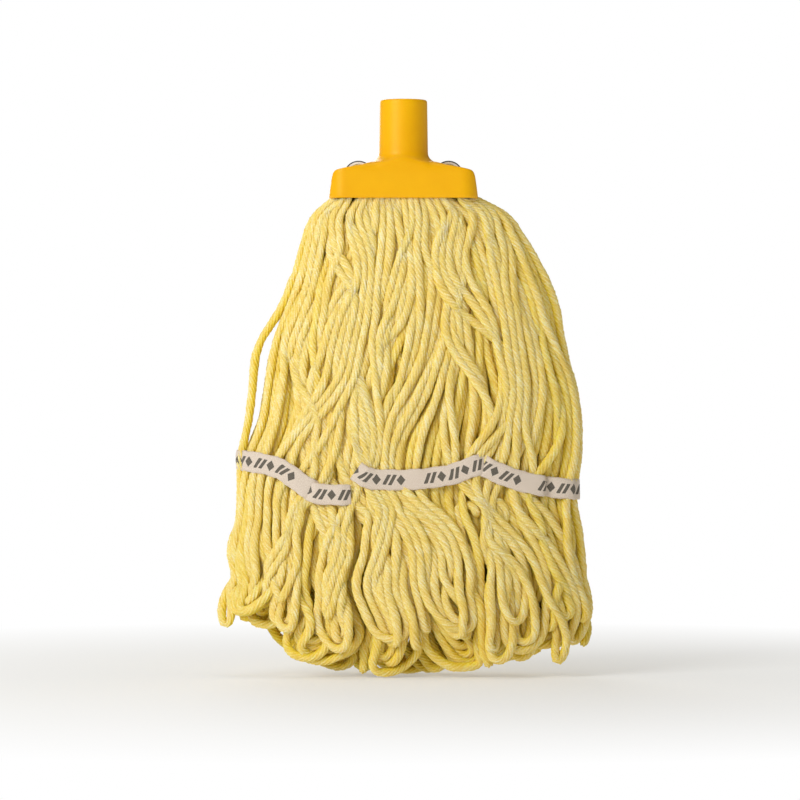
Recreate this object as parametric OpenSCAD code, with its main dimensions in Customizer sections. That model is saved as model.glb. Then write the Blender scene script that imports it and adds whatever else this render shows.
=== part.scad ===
// String mop head: a moulded T-shaped socket that takes a round handle, a rear plate
// that clamps the folded hank of yarn with two screws, and a skirt of looped yarn that is
// gathered by a sewn tape and ends in four hanging groups of loops.
// Millimetres. Origin at the centre of the socket's rim, +Z up along the handle,
// front is -Y, +X is to the right seen from the front.

/* [Handle socket] */
// Bore diameter that takes the handle
bore_d = 25.2; // [24.6:0.1:25.8]
// Bore depth from the rim
bore_depth = 44; // [38:0.5:44.5]
// Tube diameter at the rim
tube_top_d = 32; // [31.4:0.1:32.6]
// Tube diameter where it meets the shoulders
tube_base_d = 33; // [32.6:0.1:33.4]
// Rounding of the rim's outer edge
rim_round = 1; // [0.6:0.1:1.4]

/* [Skirt of the socket] */
// Width of the yarn mouth
skirt_w = 100.6; // [99.8:0.1:101.6]
// Depth of the socket, front face to rear plate's face
skirt_d = 38; // [37:0.5:39]
// Height of the mouth's edge below the rim
skirt_h = 66.9; // [66:0.1:68]
// Wall thickness of the mouldings
wall = 3; // [2.8:0.1:3.2]
// Corner radius seen from above
corner_r = 11; // [9:0.5:13]
// Gap between the shell and the rear plate
plate_gap = 0.2; // [0.1:0.05:0.3]

/* [Clamp screws] */
// Distance between the two screws
screw_span = 61.2; // [60:0.2:62]
// Height of the screws below the rim
screw_drop = 49.6; // [49.4:0.1:50.2]
// Screw shank diameter
screw_d = 5; // [4.6:0.1:5]
// Screw length under the head
screw_len = 35; // [34.4:0.1:35.4]
// Washer outside diameter
washer_d = 20; // [17:0.5:20]
// Washer thickness
washer_t = 1.5; // [1.2:0.1:1.8]

/* [Yarn skirt] */
// Half thickness of the yarn at the neck, where it swings
neck_r = 15; // [13:0.5:15.2]
// Height of the neck's swing axis below the rim
neck_drop = 82.5; // [82.4:0.1:84]
// Half thickness of the hanging loops at their swing axis
fringe_r = 29.5; // [28:0.5:29.6]
// Height of the loops' swing axis below the rim
fringe_drop = 281; // [280.6:0.1:282]
// Roundness of the yarn's cross-section, 2 is an ellipse
roundness = 2.5; // [2.2:0.1:3]
// Gap kept between neighbouring groups of yarn
yarn_gap = 0.4; // [0.3:0.1:0.8]
// Thickness of one strand of yarn
strand_d = 5.6; // [5:0.1:5.8]

/* [Gathering tape] */
// Width of the tape
tape_w = 13; // [11:0.5:14]
// Thickness of the tape
tape_t = 1.2; // [0.8:0.1:1.4]
// Height of the tape's lower edge below the rim
tape_drop = 262; // [261.5:0.1:262.4]
// Number of stitches along each half of the tape
stitches = 34; // [20:1:40]

/* [Hidden] */

socket_yellow = [0.98, 0.72, 0.02];
yarn_yellow = [0.93, 0.83, 0.50];
tape_white = [0.88, 0.84, 0.79];
steel = [0.78, 0.79, 0.80];
thread_white = [0.95, 0.93, 0.88];

front_y = -skirt_d / 2;
back_y = skirt_d / 2;
plate_y = back_y - wall;             // inner face of the rear plate
shell_y = plate_y - plate_gap;       // rear edge of the shell
floor_z = -90;                       // a level below the whole socket
beyond = 200;                        // farther out in X than any yarn

screw_x = screw_span / 2;
head_y = back_y + washer_t + 0.02;   // underside of the screw heads
tip_y = head_y - screw_len;
nut_t = 4;                           // room for the nut along the screw
nut_af = 8;                          // across flats
nut_y = tip_y;                       // front of the nut's room
nut_back_y = nut_y + nut_t;

// ---- helpers ---------------------------------------------------------------------
function reversed(list) = [for (i = [len(list) - 1 : -1 : 0]) list[i]];

// Outline of [x, z] points from the centre out, completed with its mirror image
function mirrored(half) = concat([for (p = reversed(half)) [-p[0], p[1]]], half);

function arc(cx, cy, radius, from, to, steps = 8) =
    [for (i = [0 : steps])
        let (angle = from + (to - from) * i / steps)
        [cx + radius * cos(angle), cy + radius * sin(angle)]];

// Positions between two ends, closer together near both
function spread(from, to, steps) =
    [for (i = [0 : steps]) from + (to - from) * (0.5 - 0.5 * cos(180 * i / steps))];

// Linear extrusion along Y of a shape drawn in X and Z
module along_y(y0, y1)
    translate([0, y1, 0]) rotate([90, 0, 0]) linear_extrude(y1 - y0) children();

// Linear extrusion along X of a shape drawn in Y and Z
module along_x(x0, x1)
    translate([x0, 0, 0]) rotate([90, 0, 90]) linear_extrude(x1 - x0) children();

// Solid skin over rings that all have the same number of points, lowest ring first
module skin(rings) {
    count = len(rings[0]);
    last = len(rings) - 1;
    points = [for (ring = rings) each ring];
    sides = [for (k = [0 : last - 1]) for (i = [0 : count - 1])
        let (low = k * count + i,
             low_next = k * count + (i + 1) % count,
             high = low + count,
             high_next = low_next + count)
        each [[low, high, low_next], [low_next, high, high_next]]];
    bottom = [for (i = [0 : count - 1]) i];
    top = [for (i = [count - 1 : -1 : 0]) last * count + i];
    polyhedron(points, concat(sides, [bottom, top]));
}

// Puts children on a screw's axis at the given y, with their +Z towards the front
module screw_axis(x, y = 0)
    translate([x, 0, -screw_drop]) rotate([90, 0, 0]) translate([0, 0, -y]) children();

module both_screws(y) for (x = [-screw_x, screw_x]) screw_axis(x, y) children();

// ---- mouldings -------------------------------------------------------------------
flare_z = -35.5;   // where the tube starts to flare out
flare_r = 6.6;
flare_inset = 0.3; // of the flare from the shell's front and rear
lip_t = 1.6;       // thickness of the plate's lip, across and along Y
lip_gap = 0.5;     // between the lip and the cavity

// Right half of the lower body's front outline, from the centre out and down: [x, z]
shoulder = [[20, -41.6], [25, -43.1], [30, -44.5], [38.4, -46.1], [44.6, -47.5],
            [46.4, -48.4], [47.5, -50], [48.3, -53], [49.2, -59], [skirt_w / 2, -skirt_h]];
// The same for the yarn cavity
roof = [[30, -47.9], [42.4, -50.9], [44.6, -52.2], [45.4, -54.5], [46.2, -60],
        [skirt_w / 2 - wall, -skirt_h - 2]];

// The roof's outline drawn in by an inset, down to end_z
function lip_outline(inset, end_z) = mirrored([
    [30, -47.9 - inset], [42 - inset, -50.7 - inset], [44.4 - inset, -52.2 - inset * 0.6],
    [45.2 - inset, -54.5], [46 - inset, -60], [skirt_w / 2 - wall - 0.3 - inset, end_z]]);

// The socket's plan, a rectangle with rounded corners, grown all round
module plan(grow = 0) {
    radius = corner_r + grow;
    cx = skirt_w / 2 + grow - radius;
    cy = skirt_d / 2 + grow - radius;
    translate([0, 0, floor_z]) linear_extrude(-floor_z)
        polygon(concat(arc(cx, cy, radius, 0, 90), arc(-cx, cy, radius, 90, 180),
                       arc(-cx, -cy, radius, 180, 270), arc(cx, -cy, radius, 270, 360)));
}

// Side view of the body, with its front top edge rounded
module front_round()
    along_x(-60, 60) polygon(concat([[front_y, floor_z], [front_y, -49]],
                                    arc(front_y + 6, -48, 6, 170, 90, 7),
                                    [[30, -41.9], [30, floor_z]]));

module socket_tube()
    rotate_extrude($fn = 96) polygon(concat(
        [[0, 0]],
        arc(tube_top_d / 2 - rim_round, -rim_round, rim_round, 90, 0, 6),
        [[tube_base_d / 2, flare_z], [0, flare_z]]));

// Concave flare from the tube to the shoulders, cut flat at the front and rear
module tube_flare() intersection() {
    rotate_extrude($fn = 96) polygon(concat(
        [[0, -35], [tube_base_d / 2 - 0.02, -35]],
        arc(tube_base_d / 2 + flare_r, flare_z, flare_r, 180, 256, 10),
        [[24.5, -43], [24.5, -47], [0, -47]]));
    translate([-30, front_y + flare_inset, -60])
        cube([60, skirt_d - 2 * flare_inset - wall - plate_gap, 40]);
}

module lower_body() intersection() {
    along_y(front_y, shell_y) polygon(mirrored(shoulder));
    plan();
    front_round();
}

// Yarn cavity, open at the mouth and at the rear, around a boss for each nut
module yarn_cavity() difference() {
    intersection() {
        along_y(front_y + wall, back_y + 1) polygon(mirrored(roof));
        plan(-wall + 0.4);
    }
    both_screws(nut_back_y + 0.2) cylinder(r = 6, h = 12, $fn = 48);
}

// Squares the cavity's corners at the shell's rear edge
module rear_opening() {
    half_w = skirt_w / 2 - wall - 0.2;
    translate([0, shell_y - 2.8, 0]) intersection() {
        along_y(0, 8) polygon(mirrored(roof));
        translate([-half_w, 0, floor_z]) cube([2 * half_w, 8, 60]);
    }
}

module socket_shell() color(socket_yellow) difference() {
    union() {
        socket_tube();
        tube_flare();
        lower_body();
    }
    // blind bore for the handle
    translate([0, 0, -bore_depth]) cylinder(d = bore_d, h = bore_depth + 1, $fn = 96);
    yarn_cavity();
    rear_opening();
    // screw and tip clearance
    both_screws(back_y) cylinder(d = screw_d + 0.4, h = back_y - nut_y + 1.1, $fn = 48);
    // captive nut pockets
    both_screws(nut_back_y + 1) cylinder(d = (nut_af + 0.2) / cos(30), h = nut_t + 1.2, $fn = 6);
}

module rear_clamp_plate() color(socket_yellow) difference() {
    union() {
        intersection() {
            along_y(plate_y, back_y) polygon(mirrored(concat(
                [[25, -43.3]], [for (i = [2 : len(shoulder) - 1]) shoulder[i]])));
            plan();
        }
        // locating lip that stands inside the shell's mouth
        difference() {
            along_y(plate_y - lip_t, plate_y + 0.01)
                polygon(lip_outline(lip_gap, -skirt_h + 0.4));
            along_y(plate_y - 2, plate_y)
                polygon(lip_outline(lip_gap + lip_t, -skirt_h - 2));
        }
    }
    both_screws(30) cylinder(d = screw_d + 0.5, h = 20, $fn = 48);
}

// ---- fasteners -------------------------------------------------------------------
thread_len = 12;
thread_pitch = 0.8;
thread_depth = 0.4;

module clamp_screw(x) {
    shank_r = screw_d / 2;
    seat = -head_y;                              // underside of the head, along the axis
    thread_start = seat + screw_len - thread_len;
    dome = arc(0.9, seat + 1.4, 5, -90, -38, 8);
    thread = [for (i = [0 : 12]) each [
        [shank_r - thread_depth, thread_start + (i + 0.5) * thread_pitch],
        [shank_r, thread_start + (i + 1) * thread_pitch]]];
    color(steel) difference() {
        screw_axis(x) rotate_extrude($fn = 64) polygon(concat(
            [[0, seat - 3.6]], dome, [[5, seat - 0.8], [5, seat]],
            [[shank_r, seat], [shank_r, thread_start]], thread,
            [[shank_r - 0.8, -tip_y], [0, -tip_y]]));
        // cross recess
        screw_axis(x) for (angle = [45, 135])
            rotate([0, 0, angle]) translate([-2.6, -0.5, seat - 4]) cube([5.2, 1, 2.3]);
    }
}

module clamp_washer(x) {
    hole_r = screw_d / 2 + 0.25;
    outer_r = washer_d / 2;
    color(steel) screw_axis(x, back_y + 0.01 + washer_t) rotate_extrude($fn = 96)
        polygon([[hole_r, 0.2], [hole_r + 0.2, 0], [outer_r - 0.5, 0], [outer_r, 0.5],
                 [outer_r, washer_t - 0.35], [outer_r - 0.35, washer_t], [hole_r, washer_t]]);
}

module clamp_nut(x) {
    height = nut_t - 0.2;
    face_r = nut_af / 2 + 0.1;
    edge_r = nut_af / 2 + 0.8;
    color(steel) screw_axis(x, nut_back_y - 0.1) difference() {
        // hexagon with its corners chamfered at both ends
        intersection() {
            cylinder(d = nut_af / cos(30), h = height, $fn = 6);
            rotate_extrude($fn = 64) polygon([[0, 0], [face_r, 0], [edge_r, 0.5],
                [edge_r, height - 0.5], [face_r, height], [0, height]]);
        }
        translate([0, 0, -1]) cylinder(d = screw_d + 0.1, h = nut_t + 2, $fn = 64);
    }
}

module clamp_screw_left() clamp_screw(-screw_x);
module clamp_screw_right() clamp_screw(screw_x);
module clamp_washer_left() clamp_washer(-screw_x);
module clamp_washer_right() clamp_washer(screw_x);
module clamp_nut_left() clamp_nut(-screw_x);
module clamp_nut_right() clamp_nut(screw_x);

// ---- folded and sewn top of the hank, inside the socket --------------------------
fold_top = -49.6;
fold_rise = 5.4;        // height of the fold's half-elliptical top
fold_front = front_y + wall + 1.2;
fold_back = plate_y - 2.8;
fold_mid = (fold_front + fold_back) / 2;
fold_half = (fold_back - fold_front) / 2;
head_tape_inner = 0.15; // the tape's two faces, out from the fold
head_tape_outer = 0.9;
head_stitch_y = 6.4;    // of each stitch row, from the middle of the fold
head_stitch_len = 2.6;

// Right half of the folded yarn's front outline: [x, z]
head_outline = [[30, -48.3], [42, -51.4], [44, -52.8], [44.8, -55], [45.6, -60],
                [skirt_w / 2 - wall - 0.6, -skirt_h]];

// Side view of the fold in Y and Z, grown all round
module fold_profile(grow) {
    half = fold_half + grow;
    crown = [for (i = [0 : 12])
        let (angle = 180 - 180 * i / 12)
        [fold_mid + half * cos(angle), fold_top - fold_rise + (fold_rise + grow) * sin(angle)]];
    polygon(concat([[fold_mid - half, -skirt_h]], crown, [[fold_mid + half, -skirt_h]]));
}

module yarn_head() color(yarn_yellow) difference() {
    intersection() {
        along_x(-60, 60) fold_profile(0);
        along_y(-30, 30) polygon(mirrored(head_outline));
        plan(-wall);
    }
    // clearance for the screws and the nut bosses
    both_screws(30) cylinder(d = screw_d + 0.6, h = 60, $fn = 48);
    both_screws(nut_back_y + 0.6) cylinder(r = 6.4, h = 16, $fn = 48);
    // hollow that the neck of the skirt rolls in
    translate([-60, 0, -neck_drop]) rotate([0, 90, 0])
        cylinder(r = neck_r + 1, h = 120, $fn = 128);
}

module head_tape() color(tape_white) difference() {
    along_x(-24, 24) fold_profile(head_tape_outer);
    along_x(-25, 25) fold_profile(head_tape_inner);
    // trim its lower edge, and the part behind the fold
    translate([-30, -30, floor_z]) cube([60, 60, 33]);
    translate([-30, fold_back + 0.5, floor_z]) cube([60, 60, 60]);
}

module head_stitching() {
    z = fold_top - fold_rise + 0.12
        + (fold_rise + head_tape_outer) * sin(acos(head_stitch_y / (fold_half + head_tape_outer)));
    color(thread_white) for (side = [-1, 1]) for (i = [0 : 10])
        translate([-21 + 4.2 * i - head_stitch_len / 2, fold_mid + side * head_stitch_y - 0.25, z])
            cube([head_stitch_len, 0.5, 0.5]);
}

// ---- shape of the hanging yarn ---------------------------------------------------
// Outline of the yarn: [z, reach to the left, reach to the right]
outline = [
    [-66, 49, 49], [-68, 51, 52], [-70, 54.5, 58], [-73, 58.5, 65.5],
    [-78, 62.5, 72.5], [-84, 66, 78], [-92, 69.5, 84.5], [-101, 72.5, 90],
    [-115, 75, 96.5], [-130, 78.5, 103], [-150, 83.5, 108], [-170, 90.5, 112],
    [-190, 94.5, 117], [-210, 97.5, 119.5], [-230, 101, 120], [-243, 105, 119.5],
    [-247, 109, 118.5], [-264, 109, 118.5], [-272, 112, 118.5], [-282, 114.5, 120],
    [-297, 119.5, 123], [-315, 118, 123.5], [-334, 124.5, 126.5], [-347, 126.5, 128.5],
    [-357, 112, 128.5], [-364, 96, 127], [-371, 82, 118], [-377, 76, 94],
    [-382, 58, 66], [-387, 42, 48]];
// Half thickness of the yarn from the neck down: [z, half thickness]
skirt_depth = [[-neck_drop, neck_r], [-90, 18], [-101, 21], [-115, 23.6], [-130, 25.4],
               [-150, 27], [-170, 28], [-200, 28.4], [-230, 28], [-247, 27.5], [-265, 27.5]];
// Half thickness of the hanging loops below their swing axis: [z, half thickness]
loops_depth = [[-fringe_drop, fringe_r], [-297, 31], [-315, 34], [-334, 37.5], [-350, 39],
               [-362, 38], [-371, 34.5], [-379, 27], [-387, 12]];

function column(table, index) = [for (row = table) [row[0], row[index]]];
function left_reach(z) = lookup(z, column(outline, 1));
function right_reach(z) = lookup(z, column(outline, 2));

// Above its swing axis each part is round, so that it can roll
function round_half(z, axis_z, radius) =
    sqrt(max(0.04, radius * radius - (z - axis_z) * (z - axis_z)));
function skirt_half(z) =
    z > -neck_drop ? round_half(z, -neck_drop, neck_r) : lookup(z, skirt_depth);
function loops_half(z) =
    z > -fringe_drop ? round_half(z, -fringe_drop, fringe_r) : lookup(z, loops_depth);

// Half thickness at x of a cross-section that is half thick in the middle
// and reaches left and right
function section(x, left, right, half) =
    let (t = min(1, abs(x) / (x < 0 ? left : right)))
    half * pow(max(0, 1 - pow(t, roundness)), 1 / roundness);

// ---- yarn skirt ------------------------------------------------------------------
// Heights of the skirt's rings, lowest first
skirt_z = [-263.4, -247, -230, -210, -190, -170, -150, -130, -115, -101, -92, -86,
           -neck_drop, -78, -73.5, -70.5, -68.6, -67.75];

// One quarter of the skirt between two x, cut off at the outline; side is -1 front, 1 back
module yarn_quarter(side, x_from, x_to) {
    steps = 10;
    gap = yarn_gap / 2;
    rings = [for (z = skirt_z)
        let (left = left_reach(z) - 0.2,
             right = right_reach(z) - 0.2,
             half = skirt_half(z),
             xs = spread(max(x_from, -left), min(x_to, right), steps))
        concat([for (x = xs) [x, side * max(gap + 0.05, section(x, left, right, half)), z]],
               [[xs[steps], side * gap, z], [xs[0], side * gap, z]])];
    difference() {
        skin(side < 0 ? [for (ring = rings) reversed(ring)] : rings);
        // hollow that the hanging loops roll in
        translate([-beyond, 0, -fringe_drop]) rotate([0, 90, 0])
            cylinder(r = fringe_r + 0.7, h = 2 * beyond, $fn = 128);
    }
}

module yarn_front_left() color(yarn_yellow) yarn_quarter(-1, -beyond, -yarn_gap / 2);
module yarn_front_right() color(yarn_yellow) yarn_quarter(-1, yarn_gap / 2, beyond);
module yarn_back_left() color(yarn_yellow) yarn_quarter(1, -beyond, -yarn_gap / 2);
module yarn_back_right() color(yarn_yellow) yarn_quarter(1, yarn_gap / 2, beyond);

// Centre line of the stray strand, top first: [x, z]
stray_path = [[-90.2, -152], [-94.4, -156.4], [-97.6, -162], [-99.6, -170], [-100.8, -180],
              [-101.6, -195], [-103.2, -212], [-106, -228], [-109, -239]];

// One strand that stands off the left side in a shallow bow
module stray_strand() {
    sides = 12;
    radius = strand_d / 2;
    last = len(stray_path) - 1;
    rings = [for (k = [0 : last])
        let (centre = stray_path[k],
             chord = stray_path[max(0, k - 1)] - stray_path[min(last, k + 1)],
             along = chord / norm(chord),
             across = [along[1], -along[0]])
        [for (i = [0 : sides - 1])
            let (angle = 360 * i / sides, out = across * radius * cos(angle))
            [centre[0] + out[0], radius * sin(angle), centre[1] + out[1]]]];
    color(yarn_yellow) skin(reversed(rings));
}

// ---- gathering tape --------------------------------------------------------------
tape_level = -255;  // where the yarn under the tape is measured
tape_left = left_reach(tape_level);
tape_right = right_reach(tape_level);
tape_half = skirt_half(tape_level);
tape_inner = 0.25;  // the tape's inner face, out from the yarn
tape_outer = tape_inner + tape_t;
stitch = [3.2, 0.44, 0.6];

// Half thickness at x of the yarn under the tape, grown all round
function tape_half_at(x, grow) =
    section(x, tape_left + grow, tape_right + grow, tape_half + grow);
// Plan outline of one side of that yarn; side is -1 front, 1 back
function tape_line(side, grow) =
    [for (x = spread(-tape_left - grow, tape_right + grow, 28))
        [x, side * max(yarn_gap / 2 + 0.2, tape_half_at(x, grow))]];

module band_tape(side)
    translate([0, 0, -tape_drop]) linear_extrude(tape_w)
        polygon(concat(tape_line(side, tape_outer), reversed(tape_line(side, tape_inner))));

module band_tape_front() color(tape_white) band_tape(-1);
module band_tape_back() color(tape_white) band_tape(1);

// Two rows of stitches on each half of the tape, turned to follow its face
module band_stitching() color(thread_white)
    for (side = [-1, 1]) for (i = [3 : stitches - 3]) {
        part = 0.5 - 0.5 * cos(180 * (0.12 + 0.76 * i / stitches));
        x = -tape_left + (tape_left + tape_right) * part;
        y = side * tape_half_at(x, tape_outer);
        y_next = side * tape_half_at(x + 1, tape_outer);
        for (z = [-tape_drop + 2, -tape_drop + tape_w - 2])
            translate([x, y + side * 0.38, z]) rotate([0, 0, atan2(y_next - y, 1)])
                translate(-stitch / 2) cube(stitch);
    }

// ---- hanging loops ---------------------------------------------------------------
fringe_splits = [-70, -32, 53];  // x where the hanging loops part, left to right
// Heights of the loops' rings, lowest first
fringe_z = [-386.6, -382, -377, -371, -364, -357, -347, -334, -315, -297,
            -fringe_drop, -274, -267, -261, -256.5, -253.4, -251.9];

// The loops' tops keep inside the circle that clears the tape's lower edge as they swing.
// A rise is a height above the swing axis.
edge_rise = fringe_drop - tape_drop;
function swing_r(x) = norm([tape_half_at(x, tape_inner), edge_rise]) - 0.8;

// Widest the loops may reach at a rise, on a side where the yarn reaches so far
function top_reach(reach, rise) =
    rise + 1.3 <= edge_rise ? 400 :
    let (depth = sqrt(pow(rise + 1.3, 2) - pow(edge_rise, 2)),
         t = min(0.98, depth / (tape_half + tape_inner)))
    reach * pow(1 - pow(t, roundness), 1 / roundness);

function loops_half_at(x, z, left, right) =
    let (half = max(0.6, section(x, left, right, loops_half(z))),
         rise = z + fringe_drop)
    rise <= 0 ? half : min(half, sqrt(max(0.36, pow(swing_r(x), 2) - rise * rise)));

// One group of loops between two x, cut off at the outline and ending above low_z
module fringe(x_from, x_to, low_z) {
    gap = yarn_gap / 2;
    skin([for (z = fringe_z)
        let (left = min(left_reach(z), top_reach(tape_left, z + fringe_drop)),
             right = min(right_reach(z), top_reach(tape_right, z + fringe_drop)),
             x0 = max(x_from + gap, -left),
             x1 = min(x_to - gap, right),
             xs = spread(x0, x1, 9))
        if (z > low_z && x1 - x0 > 6)
            concat([for (x = xs) [x, loops_half_at(x, z, left, right), z]],
                   [for (x = reversed(xs)) [x, -loops_half_at(x, z, left, right), z]])]);
}

module fringe_left() color(yarn_yellow) fringe(-beyond, fringe_splits[0], -372);
module fringe_mid_left() color(yarn_yellow) fringe(fringe_splits[0], fringe_splits[1], -383);
module fringe_mid_right() color(yarn_yellow) fringe(fringe_splits[1], fringe_splits[2], -390);
module fringe_right() color(yarn_yellow) fringe(fringe_splits[2], beyond, -379);

socket_shell();
rear_clamp_plate();
clamp_screw_left();
clamp_screw_right();
clamp_washer_left();
clamp_washer_right();
clamp_nut_left();
clamp_nut_right();
yarn_head();
head_tape();
head_stitching();
yarn_front_left();
yarn_front_right();
yarn_back_left();
yarn_back_right();
stray_strand();
band_tape_front();
band_tape_back();
band_stitching();
fringe_left();
fringe_mid_left();
fringe_mid_right();
fringe_right();
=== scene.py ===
# A mop head: a moulded socket, a skirt of looped cotton yarn hanging from its mouth, and a
# woven tape that gathers the yarn. It hangs along -Z; left is -X and the front faces -Y.
# Lengths are in millimetres until a mesh is built, and in metres for the lights and camera.
import math
import bpy
import numpy as np
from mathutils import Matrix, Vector


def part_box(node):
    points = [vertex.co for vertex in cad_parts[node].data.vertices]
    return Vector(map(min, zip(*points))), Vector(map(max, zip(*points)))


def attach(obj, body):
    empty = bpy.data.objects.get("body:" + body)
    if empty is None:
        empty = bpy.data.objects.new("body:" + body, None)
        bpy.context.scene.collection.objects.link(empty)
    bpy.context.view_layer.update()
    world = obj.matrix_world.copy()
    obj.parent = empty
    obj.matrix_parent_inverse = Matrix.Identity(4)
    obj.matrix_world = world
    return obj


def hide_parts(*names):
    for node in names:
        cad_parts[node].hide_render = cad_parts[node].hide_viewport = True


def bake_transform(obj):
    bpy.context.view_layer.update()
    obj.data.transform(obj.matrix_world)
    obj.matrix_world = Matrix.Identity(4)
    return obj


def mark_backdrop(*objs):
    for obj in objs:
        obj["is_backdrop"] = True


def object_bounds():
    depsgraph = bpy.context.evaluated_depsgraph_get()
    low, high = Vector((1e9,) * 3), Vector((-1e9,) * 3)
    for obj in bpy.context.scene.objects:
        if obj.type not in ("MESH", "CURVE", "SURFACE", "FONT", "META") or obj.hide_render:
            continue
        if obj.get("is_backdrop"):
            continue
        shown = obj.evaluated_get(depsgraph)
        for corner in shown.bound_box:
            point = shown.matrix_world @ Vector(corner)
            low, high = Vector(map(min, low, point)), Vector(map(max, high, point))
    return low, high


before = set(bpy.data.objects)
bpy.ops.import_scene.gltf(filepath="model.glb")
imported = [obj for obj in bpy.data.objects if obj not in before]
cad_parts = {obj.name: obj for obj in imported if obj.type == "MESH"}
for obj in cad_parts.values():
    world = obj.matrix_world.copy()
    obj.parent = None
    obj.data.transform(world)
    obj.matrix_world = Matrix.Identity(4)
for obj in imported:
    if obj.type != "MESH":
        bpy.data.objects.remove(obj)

MM = 0.001
TURN = 2 * np.pi
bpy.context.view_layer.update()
mouth_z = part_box("socket_shell")[0][2] / MM         # height of the mouth's edge
# where the four clumps of loops part, along X
splits = [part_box(n)[0][0] / MM for n in ("fringe_mid_left", "fringe_mid_right", "fringe_right")]
CLUMPS = ["loops_left", "loops_mid_left", "loops_mid_right", "loops_right"]

# ------------------------------------------------------------------ yarn: shape tables
# Height, reach to the left, reach to the right, half depth, of the whole head
SHAPE = np.array([
    [-58.0, 46.5, 46.5, 14.6], [-66.0, 47.2, 47.2, 14.9], [-68.2, 53.4, 53.9, 15.6],
    [-70.3, 56.1, 60.0, 16.2], [-73.3, 59.5, 65.6, 16.9], [-76.3, 62.1, 70.1, 17.5],
    [-81.7, 64.8, 76.1, 18.6], [-87.0, 68.2, 80.8, 19.6], [-92.4, 69.5, 85.5, 20.6],
    [-97.8, 71.5, 88.2, 21.4], [-108.5, 74.2, 94.2, 23.0], [-119.0, 75.6, 98.2, 24.3],
    [-130.0, 78.9, 103.6, 25.4], [-140.7, 81.6, 106.3, 26.2], [-151.4, 85.6, 108.3, 26.8],
    [-162.0, 90.0, 110.3, 27.2], [-173.0, 92.3, 113.0, 27.5], [-183.7, 93.7, 115.7, 27.7],
    [-194.4, 95.7, 118.4, 27.8], [-205.0, 97.0, 119.7, 27.8], [-215.9, 99.5, 120.4, 27.6],
    [-226.6, 104.0, 121.0, 27.2], [-237.0, 108.4, 121.0, 26.4], [-248.0, 111.1, 120.4, 25.4],
    [-258.8, 113.0, 118.6, 24.8], [-264.2, 113.5, 117.2, 25.2], [-274.9, 113.8, 118.4, 27.0],
    [-285.6, 114.5, 120.4, 29.0], [-291.0, 117.2, 121.7, 30.0], [-301.7, 120.2, 123.1, 32.0],
    [-312.5, 118.2, 123.7, 34.0], [-323.0, 118.5, 123.7, 36.0], [-334.0, 123.0, 126.4, 37.5],
    [-344.7, 125.6, 128.6, 38.5], [-355.4, 124.5, 128.4, 38.5], [-366.0, 118.0, 126.4, 37.5],
    [-376.0, 110.0, 120.0, 36.0], [-390.0, 100.0, 110.0, 33.0]])
LEFT, RIGHT, DEPTH = 1, 2, 3                # columns of SHAPE
# X, lowest reach of the loops
LOW = np.array([
    [-127, -345], [-116, -345], [-112, -349], [-107, -356], [-97, -360], [-88, -365],
    [-81, -372.5], [-74, -378.5], [-60, -381.5], [-44, -386], [-20, -387.6], [10, -387.6],
    [30, -386], [48, -384], [60, -382], [75, -380], [88, -377.5], [94, -374.5], [99, -370],
    [113, -370], [119, -371], [126, -366.5], [129, -360]], float)
# X, height of the gathering tape's middle: four runs across the front, one behind
RUNS = [
    np.array([[-114, -243.0], [-108, -243.4], [-98, -244.6], [-90, -246.4], [-82.5, -248.6],
              [-73.5, -254.8], [-66, -260.4], [-58, -264.6]]),
    np.array([[-68, -260.0], [-65, -262.3], [-60, -264.6], [-55, -265.6], [-46, -266.0],
              [-38, -266.0], [-30, -265.6]]),
    np.array([[-38, -246.0], [-34, -248.2], [-30.6, -250.6], [-26, -253.8], [-20, -255.6],
              [-2.4, -256.1], [14.4, -255.2], [31.8, -252.6], [40, -249.6], [45.2, -247.4],
              [52.6, -245.2], [58, -243.8]]),
    np.array([[48, -244.2], [53.3, -246.4], [62, -250.8], [72, -254.8], [82, -257.8],
              [91.5, -259.8], [103, -261.6], [115, -262.6], [122, -262.8]])]
SEAMS = [-62.0, -34.5, 53.0]                # X where one front run hands over to the next
REAR = np.array([[-114, -243.0], [-80, -247.0], [-40, -255.5], [0, -257.5], [40, -254.0],
                 [80, -259.5], [122, -262.8]])
# Height, X of the strand that bows out of the left side
STRAY = np.array([
    [-120, -73.5], [-140, -80.0], [-150, -86.0], [-157, -93.5], [-165, -98.4], [-173, -100.6],
    [-184, -101.6], [-195, -101.8], [-205, -103.0], [-216, -104.4], [-228, -107.0],
    [-240, -109.8], [-252, -111.0]])
# Place in the row (0 left, 1 right), shift to the left: the strands above the tape lean across
FLOW = np.array([[0, 0], [0.06, 6], [0.2, 20], [0.42, 33], [0.56, 40], [0.63, 36], [0.71, 23],
                 [0.80, 11], [0.90, 3], [1, 0]])
SHEAF = np.array([[0, 0], [0.42, 0], [0.50, 14], [0.57, 26], [0.64, 20], [0.71, 7], [0.78, 0],
                  [1, 0]])
SHARE = (1.0, 0.15, -0.25, -0.1, -0.5)      # each layer's share of those shifts

STRAND_R = 2.75
LAYERS = 5                                  # from front to back
OUTER = (0, LAYERS - 1)
COLS, ROWS = 27, 10                         # grid of strands in the mouth


def smooth(a, b, v):
    """Smooth step from 0 at a to 1 at b."""
    t = np.clip((np.asarray(v, float) - a) / (b - a), 0, 1)
    return t * t * (3 - 2 * t)


def look_up(table, x):
    return np.interp(x, table[:, 0], table[:, 1])


def extent(z, column):
    return np.interp(-np.asarray(z, float), -SHAPE[:, 0], SHAPE[:, column])


def half_width(x, z):
    return np.where(x < 0, extent(z, LEFT), extent(z, RIGHT))


def tape_mid(x, y):
    """Height of the tape's middle, blended from the front runs to the rear one."""
    front = np.choose(np.searchsorted(SEAMS, x), [look_up(run, x) for run in RUNS])
    w = smooth(-6, 6, y)
    return front * (1 - w) + look_up(REAR, x) * w


def running(steps):
    return np.concatenate([[0], np.cumsum(steps)])


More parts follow.
